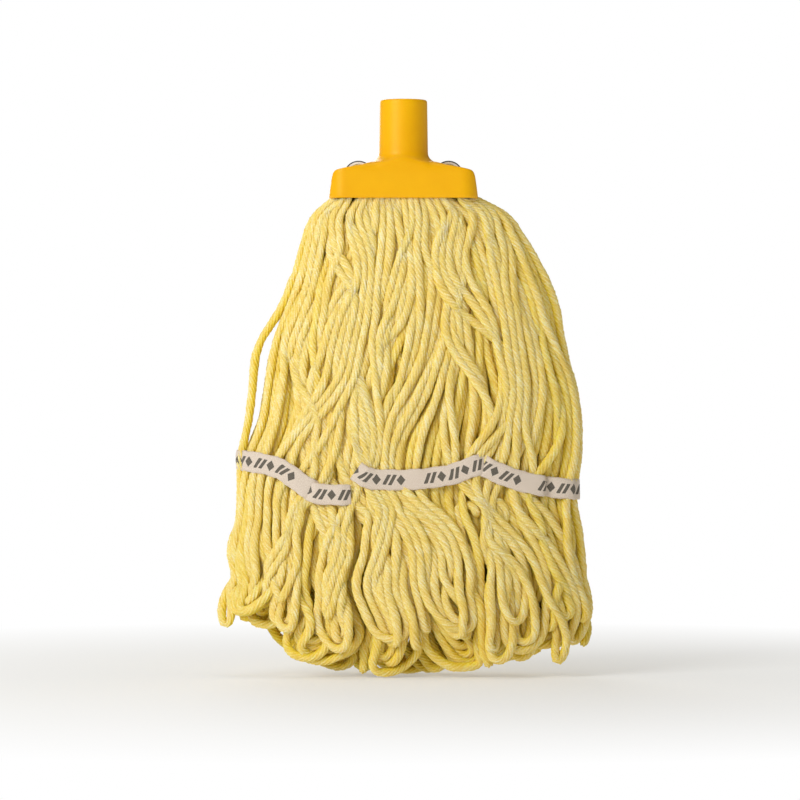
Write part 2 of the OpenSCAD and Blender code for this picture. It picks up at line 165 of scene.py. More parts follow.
def run_length(points):
    return running(np.linalg.norm(np.diff(points, axis=0), axis=1))


def sample(where, stations, points):
    return np.stack([np.interp(where, stations, column) for column in points.T], -1)


def unit(vectors, tiny=0.0):
    return vectors / (np.linalg.norm(vectors, axis=1, keepdims=True) + tiny)


# ------------------------------------------------------------------ yarn: sections of the head
# Front half outlines, from the left tip to the right tip, at even steps of length
NZ, NT, POWER = 120, 161, 2.35              # heights, steps, exponent of the superellipse
Z_GRID = np.linspace(-57, -391, NZ)


def section_table(inset_x, inset_y):
    """Outlines at every height; inset_y is a function of height and half depth."""
    table = np.zeros((NZ, NT, 2))
    a = np.linspace(0, np.pi, 721)
    cosine, sine = np.cos(np.pi - a), np.sin(a)
    power = 2 / POWER
    for i, z in enumerate(Z_GRID):
        depth = extent(z, DEPTH)
        depth = depth - inset_y(z, depth)
        x = np.sign(cosine) * np.abs(cosine) ** power * (half_width(cosine, z) - inset_x)
        y = -np.abs(sine) ** power * depth
        s = running(np.hypot(np.diff(x), np.diff(y)))
        table[i] = sample(np.linspace(0, s[-1], NT), s, np.stack([x, y], -1))
    return table


OUTSIDE = section_table(STRAND_R, lambda z, h: STRAND_R)
BETWEEN = section_table(
    STRAND_R + 4.8, lambda z, h: STRAND_R + 5.2 + 0.24 * h * smooth(-290, -350, z))
CORE = section_table(STRAND_R + 9.0, lambda z, h: 0.74 * h)
LAYER_TABLES = (OUTSIDE, BETWEEN, CORE, BETWEEN, OUTSIDE)


def section(layer, t, z, flip):
    """Point (x, y) at place t of a layer; flip mirrors it to the back."""
    table = LAYER_TABLES[layer]
    fz = np.clip((Z_GRID[0] - z) / (Z_GRID[0] - Z_GRID[-1]) * (NZ - 1), 0, NZ - 1.001)
    ft = np.clip(t * (NT - 1), 0, NT - 1.001)
    i, j = fz.astype(int), ft.astype(int)
    a, b = (fz - i)[..., None], (ft - j)[..., None]
    p = (table[i, j] * (1 - a) * (1 - b) + table[i + 1, j] * a * (1 - b)
         + table[i, j + 1] * (1 - a) * b + table[i + 1, j + 1] * a * b)
    return p * np.array([1.0, -1.0]) if flip else p


# ------------------------------------------------------------------ yarn: the wanted paths
rng = np.random.default_rng(20)


def draw_waves(count, shortest, longest):
    """Length, drift across the row, phase and height of slow waves."""
    return [(rng.uniform(shortest, longest), rng.uniform(-5, 5), rng.uniform(0, TURN),
             rng.uniform(0.6, 1.0)) for _ in range(count)]


waves_x = draw_waves(7, 120, 300)
waves_y = draw_waves(5, 90, 220)


def field(waves, t, z, side):
    total = sum(a * np.sin(TURN * (z / length + k * t) + phase + side * 2.1)
                for length, k, phase, a in waves)
    return total / len(waves) * 1.9


MOUTH_X, MOUTH_Y = 45.4, 13.3               # half size of the grid of strands in the mouth
CLEAR_X, CLEAR_R = 30.6, 4.6                # strands keep this clear of x = +-CLEAR_X
# Heights between which an effect fades in
FLARE = (-70, -112)                         # wandering
SLACK_IN, SLACK_OUT = (-262, -285), (-335, -365)    # kinks below the tape
SHEAF_IN = (-164, -232)                     # gathering into the sheaf
RESPREAD = (-250, -318)                     # spreading out evenly below the tape
DEEPEN = (-272, -322)                       # spreading in depth
PINCH_Z, PINCH_H, PINCH = -254, 22.0, 0.55  # the tape's hold: height, reach, strength


class Leg:
    """One strand from the mouth down to the bottom; side is -1 in front, 1 behind."""

    def __init__(self, layer, k):
        self.layer = layer
        self.t = (k + 0.5) / (2 * COLS)     # place in the row
        self.flip = layer > 2 or (layer == 2 and k % 2 == 1)
        self.side = 1 if self.flip else -1
        col, row = k // 2, layer * 2 + (1 - k % 2 if layer > 2 else k % 2)
        self.mouth_x = ((col + 0.5) / COLS * 2 - 1) * MOUTH_X + rng.uniform(-0.3, 0.3)
        self.mouth_y = -MOUTH_Y + row * (2 * MOUTH_Y) / (ROWS - 1)
        for post in (-CLEAR_X, CLEAR_X):
            d = self.mouth_x - post
            if abs(d) < CLEAR_R:
                self.mouth_x = post + math.copysign(CLEAR_R + abs(d) * 0.2, d)
        self.phase = rng.uniform(0, TURN, 6)
        self.length = rng.uniform(95, 240, 6)
        wander = rng.random() < 0.2
        self.amp = rng.uniform(6.0, 12) if wander else rng.uniform(1.2, 3.6)
        self.lift = rng.uniform(1.5, 4.0) if wander else rng.uniform(-0.6, 0.6)
        self.low_t = None                   # place in the row below the tape
        self.spread = 0.0 if layer in OUTER else rng.uniform(-5.5, 5.5)
        self.sway = dict(bow=rng.uniform(-5, 5), drift=rng.uniform(-8, 8),
                         hook=rng.uniform(-8, 8), tuck=rng.uniform(-4, 4))

    def wave(self, i, z):
        return np.sin(TURN * z / self.length[i] + self.phase[i])

    def x_at(self, z):
        return float(self.at(np.array([z]))[0, 0])

    def shift(self, z, kink):
        """Wander and lean along X."""
        free = smooth(*FLARE, z)
        slack = smooth(*SLACK_IN, z) * (1 - smooth(*SLACK_OUT, z))
        pinch = 1 - PINCH * np.exp(-((z - PINCH_Z) / PINCH_H) ** 2)
        edge = np.clip(min(self.t, 1 - self.t) * 9, 0.12, 1)
        own = sum(self.wave(i, z) for i in range(3)) / 1.9
        dx = ((9.0 * field(waves_x, self.t, z, self.side) + self.amp * own) * free
              + 2.4 * kink * slack + 0.8 * kink * free) * pinch * edge
        lean = 0.6 * np.clip((-76 - z) / 160, 0, 1) + 0.4 * smooth(-76, -236, z)
        dx -= (look_up(FLOW, self.t) * lean
               + look_up(SHEAF, self.t) * smooth(*SHEAF_IN, z)) * SHARE[self.layer]
        return dx, (2.6 * kink + 0.4 * self.amp * own) * slack * edge, free, pinch

    def at(self, z):
        """Wanted centre of the strand at the heights z."""
        z = np.asarray(z, float)
        kink = np.sin(TURN * z / self.length[1] * 3.1 + self.phase[3])
        dx, low_dx, free, pinch = self.shift(z, kink)
        arc = extent(z, LEFT) + extent(z, RIGHT) + 30
        t = np.clip(self.t + dx / arc, 0.004, 0.996)
        if self.low_t is not None:
            w = smooth(*RESPREAD, z)
            t = t * (1 - w) + np.clip(self.low_t + low_dx / arc, 0.004, 0.996) * w
        p = section(self.layer, t, z, self.flip)
        rise = np.sin(TURN * z / 190 + self.phase[5]) ** 2
        dy = ((1.7 * field(waves_y, self.t, z, self.side) + 1.0 * self.wave(4, z)) * free * pinch
              + self.lift * free * pinch * rise)
        p[..., 1] += self.side * dy + self.spread * smooth(*DEEPEN, z)
        # from the grid in the mouth out to the head's section
        reach = 5.0 if min(self.t, 1 - self.t) < 0.12 else 8.5
        m = smooth(mouth_z + 1.5, mouth_z - reach, z)[..., None]
        start = np.stack([np.full(z.shape, self.mouth_x), np.full(z.shape, self.mouth_y)], -1)
        p = start * (1 - m) + p * m
        return np.concatenate([p, z[..., None]], -1)


legs = [[Leg(layer, k) for k in range(2 * COLS)] for layer in range(LAYERS)]

# ------------------------------------------------------------------ yarn: pair legs into loops
GAP = 0.3
# Shift of the three partings in each layer, so no gap runs straight through
PART = [(3.0, -2.5, -1.0), (-5.0, 5.0, 4.0), (2.0, 0.0, -3.5), (5.0, -4.0, 3.0),
        (-4.0, 3.0, -4.0)]
# Range per clump of the bow halfway down and of the drift at the bottom, front layer
SWAY = [(-4, 3, -12, -2), (-4, 2, -6, 10), (-7, -2, 5, 17), (-5, 5, -9, 10)]
SWAY_BEHIND = (-9, 9, -26, 26)


def part_range(layer, c, z):
    """Lowest and highest X of clump c at the heights z."""
    def edge(k):
        wave = (2.6 * np.sin(TURN * z / 57.0 + 1.7 * layer + 2.3 * k)
                + 1.4 * np.sin(TURN * z / 31.0 + 2.9 * layer + k))
        return splits[k] + PART[layer][k] + wave * smooth(-266, -298, z)
    low_x = edge(c - 1) + GAP + STRAND_R if c > 0 else np.full(np.shape(z), -200.0)
    high_x = edge(c) - GAP - STRAND_R if c < 3 else np.full(np.shape(z), 200.0)
    return low_x, high_x


def group_size(layer, c, first):
    outer = layer in OUTER
    if layer == 0 and c == 0 and first:
        return 2
    if c in (0, 3):
        sizes = [2, 2, 4, 4, 6] if outer else [4, 6, 8]
    else:
        sizes = [2, 4, 4, 6] if outer else [6, 8, 10]
    return int(rng.choice(sizes))


def group_clump(layer, c, spare):
    """Nested pairs of one clump's legs; odd legs go to spare."""
    row = sorted([leg for leg in legs[layer] if leg.clump == c], key=lambda leg: leg.low_x)
    found, i = [], 0
    while i < len(row):
        left = len(row) - i
        size = min(group_size(layer, c, i == 0), left)
        if left - size == 1:
            size += 1
        group = row[i:i + size]
        i += size
        if len(group) % 2:
            spare.append(group.pop(len(group) // 2))
        if len(group) == 4 and rng.random() < 0.3:
            group = [group[0], group[2], group[3], group[1]]
        span = SWAY[c] if layer == 0 else SWAY_BEHIND
        hook = 6 if layer in OUTER else 20
        sway = dict(bow=rng.uniform(*span[:2]), drift=rng.uniform(*span[2:]),
                    hook=rng.choice([-1, 1]) * rng.uniform(0.3, 1) * hook,
                    tuck=rng.uniform(-5, 5))
        for leg in group:
            leg.sway = sway
        # first with last, and so on inwards
        n = len(group) // 2
        found += [(group[k], group[-1 - k], k, n) for k in range(n)]
    return found


def take_nearest(leg, others):
    """Remove and return the leg nearest in the row, on the same side if it can be."""
    other = min(others, key=lambda o: abs(o.t - leg.t) + 0.2 * (o.side != leg.side))
    others.remove(other)
    return other


def take_nearest_in_row(leg, others):
    other = min(others, key=lambda o: abs(o.t - leg.t))
    others.remove(other)
    return other


pairs = []                                  # leg, leg, level in its nest, loops in the nest
leftover = []
for layer in range(LAYERS):
    # below the tape the legs of a layer spread out evenly again, in the order they arrive
    for i, leg in enumerate(sorted(legs[layer], key=lambda leg: leg.x_at(-300.0))):
        leg.low_t = (i + 0.5 + rng.uniform(-0.2, 0.2)) / len(legs[layer])
    bounds = [splits[k] + PART[layer][k] for k in range(3)]
    for leg in legs[layer]:
        leg.low_x = leg.x_at(-325.0)
        leg.clump = int(np.searchsorted(bounds, leg.low_x))
    spare = []
    for c in range(4):
        pairs += group_clump(layer, c, spare)
    while len(spare) >= 2:
        a = spare.pop(0)
        b = take_nearest_in_row(a, spare)
        if abs(b.t - 0.5) <= abs(a.t - 0.5):
            a.clump = b.clump
        pairs.append((a, b, 0, 1))
    leftover += spare
while len(leftover) >= 2:
    a = leftover.pop(0)
    pairs.append((a, take_nearest(a, leftover), 0, 1))

# two small loops that hang open beside the rest; z is their lowest point
EYES = [dict(x=-120.3, z=-357.4), dict(x=106.3, z=-381.5)]
EYE_WIDTH, EYE_TURN = 8.6, 5.2
for eye in EYES:
    cand = [p for p in pairs if p[0].layer == 0 and p[3] == 1 and abs(p[0].low_x - p[1].low_x) < 22]
    nearest = min(cand, key=lambda p: abs((p[0].low_x + p[1].low_x) / 2 - eye["x"]), default=None)
    eye["leg"] = nearest[0] if nearest else None

# ------------------------------------------------------------------ yarn: path of each loop
MAX_WIDTH = 58


def loop_drop(layer, c):
    """How far a loop ends above the lowest reach; every layer's value is drawn each time."""
    front = rng.uniform(19, 38) if c in (1, 2) else rng.uniform(8, 27)
    return (front, rng.uniform(2, 14), rng.uniform(0, 7), rng.uniform(0, 10),
            rng.uniform(4, 28))[layer]


def sway_loop(path, leg, bottom):
    g, z = leg.sway, path[:, 2]
    x0 = path[:, 0].copy()
    path[:, 0] += (g["bow"] * np.exp(-((z + 320) / 19.0) ** 2) + g["drift"] * smooth(-318, -374, z)
                   + g["hook"] * smooth(bottom + 24, bottom + 1, z))
    path[:, 1] += g["tuck"] * smooth(bottom + 26, bottom, z)
    low_x, high_x = part_range(leg.layer, leg.clump, z)
    kept = np.clip(path[:, 0], np.minimum(low_x, x0), np.maximum(high_x, x0))
    path[:, 0] = np.where(z < -280, kept, path[:, 0])


def loop_path(a, b, level, count):
    """Centre line of one loop: down leg a, round the bottom, up leg b."""
    foot_a, foot_b = a.at(np.array([-330.0]))[0], b.at(np.array([-330.0]))[0]
    low_x, high_x = (float(v) for v in part_range(a.layer, a.clump, -345.0))
    mid = float(np.clip((foot_a[0] + foot_b[0]) / 2, low_x + 4, high_x - 4))
    eye = next((e for e in EYES if e["leg"] is a), None)
    width = max(abs(foot_a[0] - foot_b[0]), 6.2 + rng.uniform(0, 5))
    widest_of_nest = level == 0 and count > 1
    width *= rng.uniform(1.0, 1.12) if widest_of_nest else rng.uniform(0.8, 1.08)
    width = min(width, MAX_WIDTH)
    drop = loop_drop(a.layer, a.clump)
    nest_step = rng.uniform(*((5.2, 7.4) if a.layer in OUTER else (4.6, 5.8)))
    bottom = look_up(LOW, mid) + STRAND_R + drop + level * nest_step - 7.0
    if eye:
        mid, width, bottom = eye["x"], EYE_WIDTH, eye["z"] + STRAND_R
    turn_h = width * 0.5 * rng.uniform(0.75, 1.2)
    yaw = rng.uniform(-0.5, 0.5) if width > 14 else rng.uniform(-1.3, 1.3)
    twist = 0.0
    if width < 15 and rng.random() < 0.35:
        twist = rng.choice([1.0, -1.0]) * np.pi
    if eye:
        twist, yaw, turn_h = np.pi, 0.0, EYE_TURN
    cosine, sine = math.cos(yaw), math.sin(yaw)
    top = bottom + turn_h                   # where the bend begins
    sign = 1.0 if foot_a[0] <= foot_b[0] else -1.0
    mid_y = (foot_a[1] + foot_b[1]) / 2
    sides = []
    for leg, s in ((a, -sign), (b, sign)):
        z = np.linspace(-57.5, top, 150)
        m = smooth(-262, top + 8, z)[:, None]
        angle = twist * smooth(-300, top, z)
        off = s * width / 2
        end_x = mid + off * cosine * np.cos(angle) - off * sine * np.sin(angle) * 0.4
        end_y = mid_y + off * sine * 0.8 + off * np.sin(angle)
        q = leg.at(z) * (1 - m) + np.stack([end_x, end_y, z], -1) * m
        kept = np.clip(q[:, 0], *part_range(a.layer, a.clump, z))
        q[:, 0] = np.where(z < -272, kept, q[:, 0])
        sides.append(q)
    down, up = sides[0], sides[1][::-1]
    bend = np.linspace(0, np.pi, 22)[1:-1]
    centre, half = (down[-1] + up[0]) / 2, (down[-1] - up[0]) / 2
    arc = (centre + np.cos(bend)[:, None] * half
           + np.sin(bend)[:, None] * np.array([0, 0, -turn_h]))
    path = np.concatenate([down, arc, up])
    if not eye:
        sway_loop(path, a, bottom)
    return path


N = 160                                     # points along each loop
M = len(pairs)
HALVES = (slice(0, N // 2), slice(N // 2, N))
wanted = np.zeros((M, N, 3))
rest = np.zeros(M)                          # distance between a loop's points
clump = np.array([p[0].clump for p in pairs])
for m, pair in enumerate(pairs):
    path = loop_path(*pair)
    s = run_length(path)
    wanted[m] = sample(np.linspace(0, s[-1], N), s, path)
    rest[m] = s[-1] / (N - 1)

# the leftmost front strand bows out of the left side, free of the outline
stray_m, stray_leg = min(((m, i) for m, p in enumerate(pairs) for i in (0, 1)
                          if p[i].layer == 0), key=lambda q: pairs[q[0]][q[1]].t)
half = HALVES[stray_leg]
z = wanted[stray_m, half, 2]
bowed = (z < STRAY[0, 0]) & (z > STRAY[-1, 0])
stray_x = np.interp(-z, -STRAY[:, 0], STRAY[:, 1])
wanted[stray_m, half, 0] = np.where(bowed, stray_x, wanted[stray_m, half, 0])
wanted[stray_m, half, 1] = np.where(bowed, -2.0, wanted[stray_m, half, 1])
free = np.zeros((M, N), bool)
free[stray_m, half] = bowed
free = free.ravel()
# the ends of the two small loops keep their place
held = np.zeros((M, N))
for eye in EYES:
    for m, pair in enumerate(pairs):
        if pair[0] is eye["leg"]:
            held[m] = smooth(eye["z"] + 36, eye["z"] + 22, wanted[m, :, 2])
held = held.ravel()

# ------------------------------------------------------------------ yarn: relax the strands
SINK = (3.4, 9.0, 99.0, 9.0, 3.4)           # how far each layer may lie below the surface
outer = np.zeros((M, N), bool)
sink, side_of = np.zeros((M, N)), np.zeros((M, N))
for m, pair in enumerate(pairs):
    for leg, half in zip(pair, HALVES):
        outer[m, half] = leg.layer in OUTER
        sink[m, half] = SINK[leg.layer]
        side_of[m, half] = leg.side
outer, sink, side_of = outer.ravel(), sink.ravel(), side_of.ravel()

CELL = 7.6                                  # grid for finding neighbours
REACH = 1.8                                 # neighbours are kept up to this far apart
FIND_EVERY = 6                              # steps between searches for neighbours
INSIDE_X, INSIDE_Y = 45.2, 13.6             # limits inside the socket


def radius(z, outer):
    """Strands are squeezed in the mouth and swell to full size below it."""
    squeezed = np.where(outer, 2.05, 1.62)
    swell = np.where(outer, smooth(mouth_z + 1, mouth_z - 22, z),
                     smooth(mouth_z + 2, mouth_z - 50, z))
    return squeezed + (STRAND_R - squeezed) * swell


def near_pairs(P, R):
    """Indices of points that touch or nearly do, found through a grid of cells."""
    key = np.floor((P - P.min(0)) / CELL).astype(np.int64) + 1
    dim = key.max(0) + 2
    cell = (key[:, 0] * dim[1] + key[:, 1]) * dim[2] + key[:, 2]
    order = np.argsort(cell, kind="stable")
    ordered = cell[order]
    firsts, seconds = [], []
    for dx in (-1, 0, 1):
        for dy in (-1, 0, 1):
            for dz in (-1, 0, 1):
                d = (dx * dim[1] + dy) * dim[2] + dz
                if d < 0:
                    continue
                begin = np.searchsorted(ordered, cell + d, "left")
                count = np.searchsorted(ordered, cell + d, "right") - begin
                i = np.repeat(np.arange(len(P)), count)
                offset = np.arange(count.sum()) - np.repeat(np.cumsum(count) - count, count)
                j = order[np.repeat(begin, count) + offset]
                if d == 0:
                    once = i < j
                    i, j = i[once], j[once]
                firsts.append(i)
                seconds.append(j)
    i, j = np.concatenate(firsts), np.concatenate(seconds)
    close = ((P[i] - P[j]) ** 2).sum(1) < (R[i] + R[j] + REACH) ** 2
    i, j = i[close], j[close]
    same = (i // N == j // N) & (np.abs(i - j) < 4)
    return i[~same], j[~same]


def unbend(P):
    """Smooth the departure from the wanted path."""
    D = P.reshape(M, N, 3) - wanted
    for _ in range(3):
        B = D.copy()
        B[:, 1:-1] += 0.35 * (0.5 * (D[:, :-2] + D[:, 2:]) - D[:, 1:-1])
        D = B
    return (wanted + D).reshape(-1, 3)


def push_apart(P, R, I, J):
    stiffness, most, vertical = 0.42, 1.6, 0.6
    d = P[I] - P[J]
    dist = np.linalg.norm(d, axis=1) + 1e-6
    over = R[I] + R[J] - dist
    k = over > 0
    ii, jj = I[k], J[k]
    push = d[k] / dist[k][:, None] * (over[k] * stiffness)[:, None]
    move = np.zeros_like(P)
    for ax in range(3):
        move[:, ax] = (np.bincount(ii, push[:, ax], len(P))
                       - np.bincount(jj, push[:, ax], len(P)))
    move[:, 2] *= vertical
    size = np.linalg.norm(move, axis=1)
    move *= np.minimum(1, most / np.maximum(size, 1e-6))[:, None]
    P += move


def keep_length(P):
    A = P.reshape(M, N, 3)
    for _ in range(2):
        e = A[:, 1:] - A[:, :-1]
        L = np.linalg.norm(e, axis=2, keepdims=True)
        c = e * (1 - rest[:, None, None] / L) * 0.25
        A[:, :-1] += c
        A[:, 1:] -= c


def keep_outline(P):
    z = P[:, 2]
    w, h = half_width(P[:, 0], z) - STRAND_R, extent(z, DEPTH) - STRAND_R
    taped = np.exp(-((z - tape_mid(P[:, 0], P[:, 1])) / 8.0) ** 4)
    # the outline gives a little, and is tighter under the tape
    depth = h + 1.6 * (1 - taped) - 0.9 * taped
    u = (np.abs(P[:, 0]) / w) ** POWER + (np.abs(P[:, 1]) / depth) ** POWER
    s = np.where((u > 1) & ~free, np.maximum(u, 1e-9) ** (-1 / POWER), 1.0)
    s = 1 + (s - 1) * (0.6 + 0.3 * taped)
    P[:, :2] *= s[:, None]
    # outer strands stay at the surface
    surface_y = h * (1 - np.clip(np.abs(P[:, 0]) / w, 0, 1) ** POWER) ** (1 / POWER)
    lack = (np.clip(surface_y - sink - side_of * P[:, 1], 0, 12)
            * smooth(mouth_z - 8, mouth_z - 28, z) * (1 - smooth(-318, -338, z)))
    P[:, 1] += side_of * lack * 0.4


def relax(P, steps):
    """Let the strands settle against each other near their wanted paths."""
    limits = np.array([part_range(pairs[m][0].layer, clump[m], wanted[m, :, 2])
                       for m in range(M)])
    low_x, high_x = limits[:, 0].ravel(), limits[:, 1].ravel()
    goal = wanted.reshape(-1, 3)
    neck = smooth(mouth_z - 26, mouth_z - 12, goal[:, 2])
    hang = smooth(-290, -320, goal[:, 2])
    fixed = smooth(mouth_z - 1.5, mouth_z + 2.5, goal[:, 2])[:, None]
    for step in range(steps):
        f = step / steps
        if step % FIND_EVERY == 0:
            I, J = near_pairs(P, radius(P[:, 2], outer))
        pull = 0.10 * (1 - f) ** 2 + 0.006
        P += np.maximum(np.maximum(pull, 0.12 * neck), 0.5 * held)[:, None] * (goal - P)
        P[:, 2] -= 0.05 * hang              # weight of the hanging loops
        P = unbend(P)
        push_apart(P, radius(P[:, 2], outer) * (0.92 if f < 0.5 else 0.95), I, J)
        keep_length(P)
        keep_outline(P)
        # the groups of loops keep to their own side of the partings
        x = np.clip(P[:, 0], low_x, high_x)
        P[:, 0] += (x - P[:, 0]) * smooth(-262, -280, P[:, 2])
        # lowest reach
        floor = look_up(LOW, P[:, 0]) + STRAND_R
        P[:, 2] = np.where((P[:, 2] < floor) & (held < 0.01),
                           floor + (P[:, 2] - floor) * 0.3, P[:, 2])
        # inside the socket nothing moves
        P = P * (1 - fixed) + goal * fixed
        inside = P[:, 2] > mouth_z - 0.5
        P[:, 0] = np.where(inside, np.clip(P[:, 0], -INSIDE_X, INSIDE_X), P[:, 0])
        P[:, 1] = np.where(inside, np.clip(P[:, 1], -INSIDE_Y, INSIDE_Y), P[:, 1])
    # smooth above the tape, and a little below it
    A = P.reshape(M, N, 3).copy()
    for k in range(10):
        over = smooth(-274, -262, A[:, 2:-2, 2])
        w = 0.45 * over + (0.3 if k < 3 else 0.0) * (1 - over)
        A[:, 2:-2] += w[..., None] * (0.5 * (A[:, 1:-3] + A[:, 3:-1]) - A[:, 2:-2])
    return A


def blurred(v):
    padded = np.concatenate([v[:1]] * 2 + [v] + [v[-1:]] * 2)
    return np.convolve(padded, np.array([1, 2, 3, 2, 1]) / 9, "valid")


def fit_outline(A):
    """Stretch the outermost strands to the measured outline, smoothly."""
    P = A.reshape(-1, 3)
    stations_z = np.arange(-90, -372, -8.0)
    stations_x = np.arange(-122, 127, 7.0)
    for _ in range(2):
        for sign, column in ((-1, LEFT), (1, RIGHT)):
            ext = []
            for z in stations_z:
                k = (np.abs(P[:, 2] - z) < 7) & ~free
                ext.append((P[k, 0] * sign).max() + STRAND_R)
            need = blurred(np.clip(extent(stations_z, column) - np.array(ext), -5, 9))
            d = np.interp(-P[:, 2], -stations_z, need)
            w = extent(P[:, 2], column)
            P[:, 0] += (sign * d * smooth(0.45, 0.98, P[:, 0] * sign / w)
                        * smooth(-78, -95, P[:, 2]) * ~free * (1 - held))
        need = []
        for x in stations_x:
            k = (np.abs(P[:, 0] - x) < 7) & (held < 0.01)
            need.append(np.clip(look_up(LOW, x) - (P[k, 2].min() - STRAND_R), -14, 8)
                        if k.any() else 0.0)
        need = blurred(np.array(need))
        P[:, 2] += (np.interp(P[:, 0], stations_x, need) * smooth(-300, -372, P[:, 2])
                    * (1 - held))
    return P.reshape(A.shape)


loop_points = fit_outline(relax(wanted.reshape(-1, 3).copy(), 230))


# ------------------------------------------------------------------ yarn: ropes
def catmull(P, q):
    """Catmull-Rom curve through the points P at the index positions q."""
    n = len(P)
    i = np.clip(q.astype(int), 0, n - 2)
    t = (q - i)[:, None]
    p0, p1, p2, p3 = P[np.clip(i - 1, 0, n - 1)], P[i], P[i + 1], P[np.clip(i + 2, 0, n - 1)]
    return 0.5 * (2 * p1 + (p2 - p0) * t + (2 * p0 - 5 * p1 + 4 * p2 - p3) * t ** 2
                  + (3 * p1 - p0 - 3 * p2 + p3) * t ** 3)


def frames(C):
    """Two directions across the centre line that don't turn round it."""
    tangent = unit(np.gradient(C, axis=0))
    U = np.zeros_like(C)
    u = np.array([1.0, 0, 0])
    for i in range(len(C)):
        u = u - tangent[i] * (u @ tangent[i])
        n = np.linalg.norm(u)
        u = u / n if n > 1e-6 else np.array([0, 1.0, 0])
        U[i] = u
    return U, np.cross(tangent, U)


TWIST = 27.0                                # length of one turn of the yarn's twist
PLY = np.array([-0.20, 0.08, 0.08])         # groove and two flanks of one ply
# plies round the strand, roughness as a share of the radius, step along the strand
FINE = dict(plies=7, rough=0.045, step=2.1)
PLAIN = dict(plies=6, rough=0.02, step=3.0)


def link_object(name, mesh):
    ob = bpy.data.objects.new(name, mesh)
    bpy.context.scene.collection.objects.link(ob)
    return ob


class Ropes:
    """Collects rope pieces into one mesh."""

    def __init__(self, name):
        self.name, self.count = name, 0
        self.points, self.faces, self.uvs = [], [], []
        self.tints, self.plies, self.outward = [], [], []

    def add(self, C, U, V, S, r, style, phase, tint, out, bulk, depth):
        """C centre, U and V across it, S length so far, r radius, out and bulk outward."""
        rough = style["rough"]
        k, n = len(C), style["plies"] * len(PLY)
        profile = 1 + np.tile(PLY, style["plies"])
        turn = (S / (TWIST * (0.88 + 0.28 * tint)) * TURN + phase
                + 0.45 * np.sin(S / 17 + 2 * phase) + 0.22 * np.sin(S / 5.7 + phase))
        angle = (np.arange(n) / n * TURN)[None] - turn[:, None]
        noise = rng.normal(0, rough, (k, n)).clip(-2 * rough, 2 * rough)
        rr = r[:, None] * (profile[None] + noise)
        normal = np.cos(angle)[..., None] * U[:, None] + np.sin(angle)[..., None] * V[:, None]
        points = C[:, None] + normal * rr[..., None]
        # painted shade and highlight: how open each point lies, out of the groove and turned out of
        # the head, lowered by depth on inner strands; open points are painted paler, hidden ones a
        # deeper yellow
        face = smooth(-0.35, 0.95, (normal * out[:, None]).sum(-1))
        crest = ((profile - profile.min()) / np.ptp(profile))[None]
        painted_light_level = (0.36 * crest + 0.64 * face) * depth
        base = self.count
        self.points += [points.reshape(-1, 3), np.array([C[0], C[-1]])]
        i, j = (g.ravel() for g in np.meshgrid(np.arange(k - 1), np.arange(n), indexing="ij"))
        j2 = (j + 1) % n
        self.faces.append(
            np.stack([i * n + j, i * n + j2, (i + 1) * n + j2, (i + 1) * n + j], -1) + base)
        u, u2 = j / n, (j + 1) / n
        self.uvs.append(
            np.stack([u, S[i], u2, S[i], u2, S[i + 1], u, S[i + 1]], -1).reshape(-1, 4, 2))
        # end caps: triangles, marked by -1 in the last place
        j = np.arange(n)
        j2 = (j + 1) % n
        none, centre, last = np.full(n, -1), base + k * n, base + (k - 1) * n
        self.faces.append(np.stack([np.full(n, centre), base + j2, base + j, none], -1))
        self.faces.append(np.stack([np.full(n, centre + 1), last + j, last + j2, none], -1))
        for s in (S[0], S[-1]):
            self.uvs.append(np.stack([np.stack([j / n, np.full(n, s)], -1)] * 4, 1))
        self.tints.append(np.full(k * n + 2, tint))
        # painted shade and highlight for each point, for the material
        self.plies.append(np.concatenate([painted_light_level.ravel(), [0.5, 0.5]]))
        self.outward.append(np.concatenate([np.repeat(bulk, n, 0), bulk[:1], bulk[-1:]]))
        self.count += k * n + 2

    def build(self, material):
        points = np.concatenate(self.points) * MM
        faces = np.concatenate(self.faces)
        tri = faces[:, 3] < 0
        total = np.where(tri, 3, 4)
        keep = np.ones(faces.shape, bool)
        keep[tri, 3] = False
        mesh = bpy.data.meshes.new(self.name)
        mesh.vertices.add(len(points))
        mesh.vertices.foreach_set("co", points.ravel())
        mesh.loops.add(int(total.sum()))
        mesh.loops.foreach_set("vertex_index", faces[keep])
        mesh.polygons.add(len(faces))
        mesh.polygons.foreach_set("loop_start", np.concatenate([[0], np.cumsum(total)[:-1]]))
        mesh.polygons.foreach_set("loop_total", total)
        mesh.polygons.foreach_set("use_smooth", np.ones(len(faces), bool))
        layer = mesh.uv_layers.new(name="strand")
        layer.data.foreach_set("uv", np.concatenate(self.uvs)[keep].ravel())
        # tint is a random dye per strand; the other attribute carries the painted shade and
        # highlight
        for name, values in (("tint", self.tints), ("painted_light", self.plies)):
            attribute = mesh.attributes.new(name, "FLOAT", "POINT")
            attribute.data.foreach_set("value", np.concatenate(values))
        attribute = mesh.attributes.new("outward", "FLOAT_VECTOR", "POINT")
        outward = np.concatenate(self.outward).astype(np.float32)
        attribute.data.foreach_set("vector", outward.ravel())
        mesh.update()
        mesh.validate()
        ob = link_object(self.name, mesh)
        mesh.materials.append(material)
        return ob


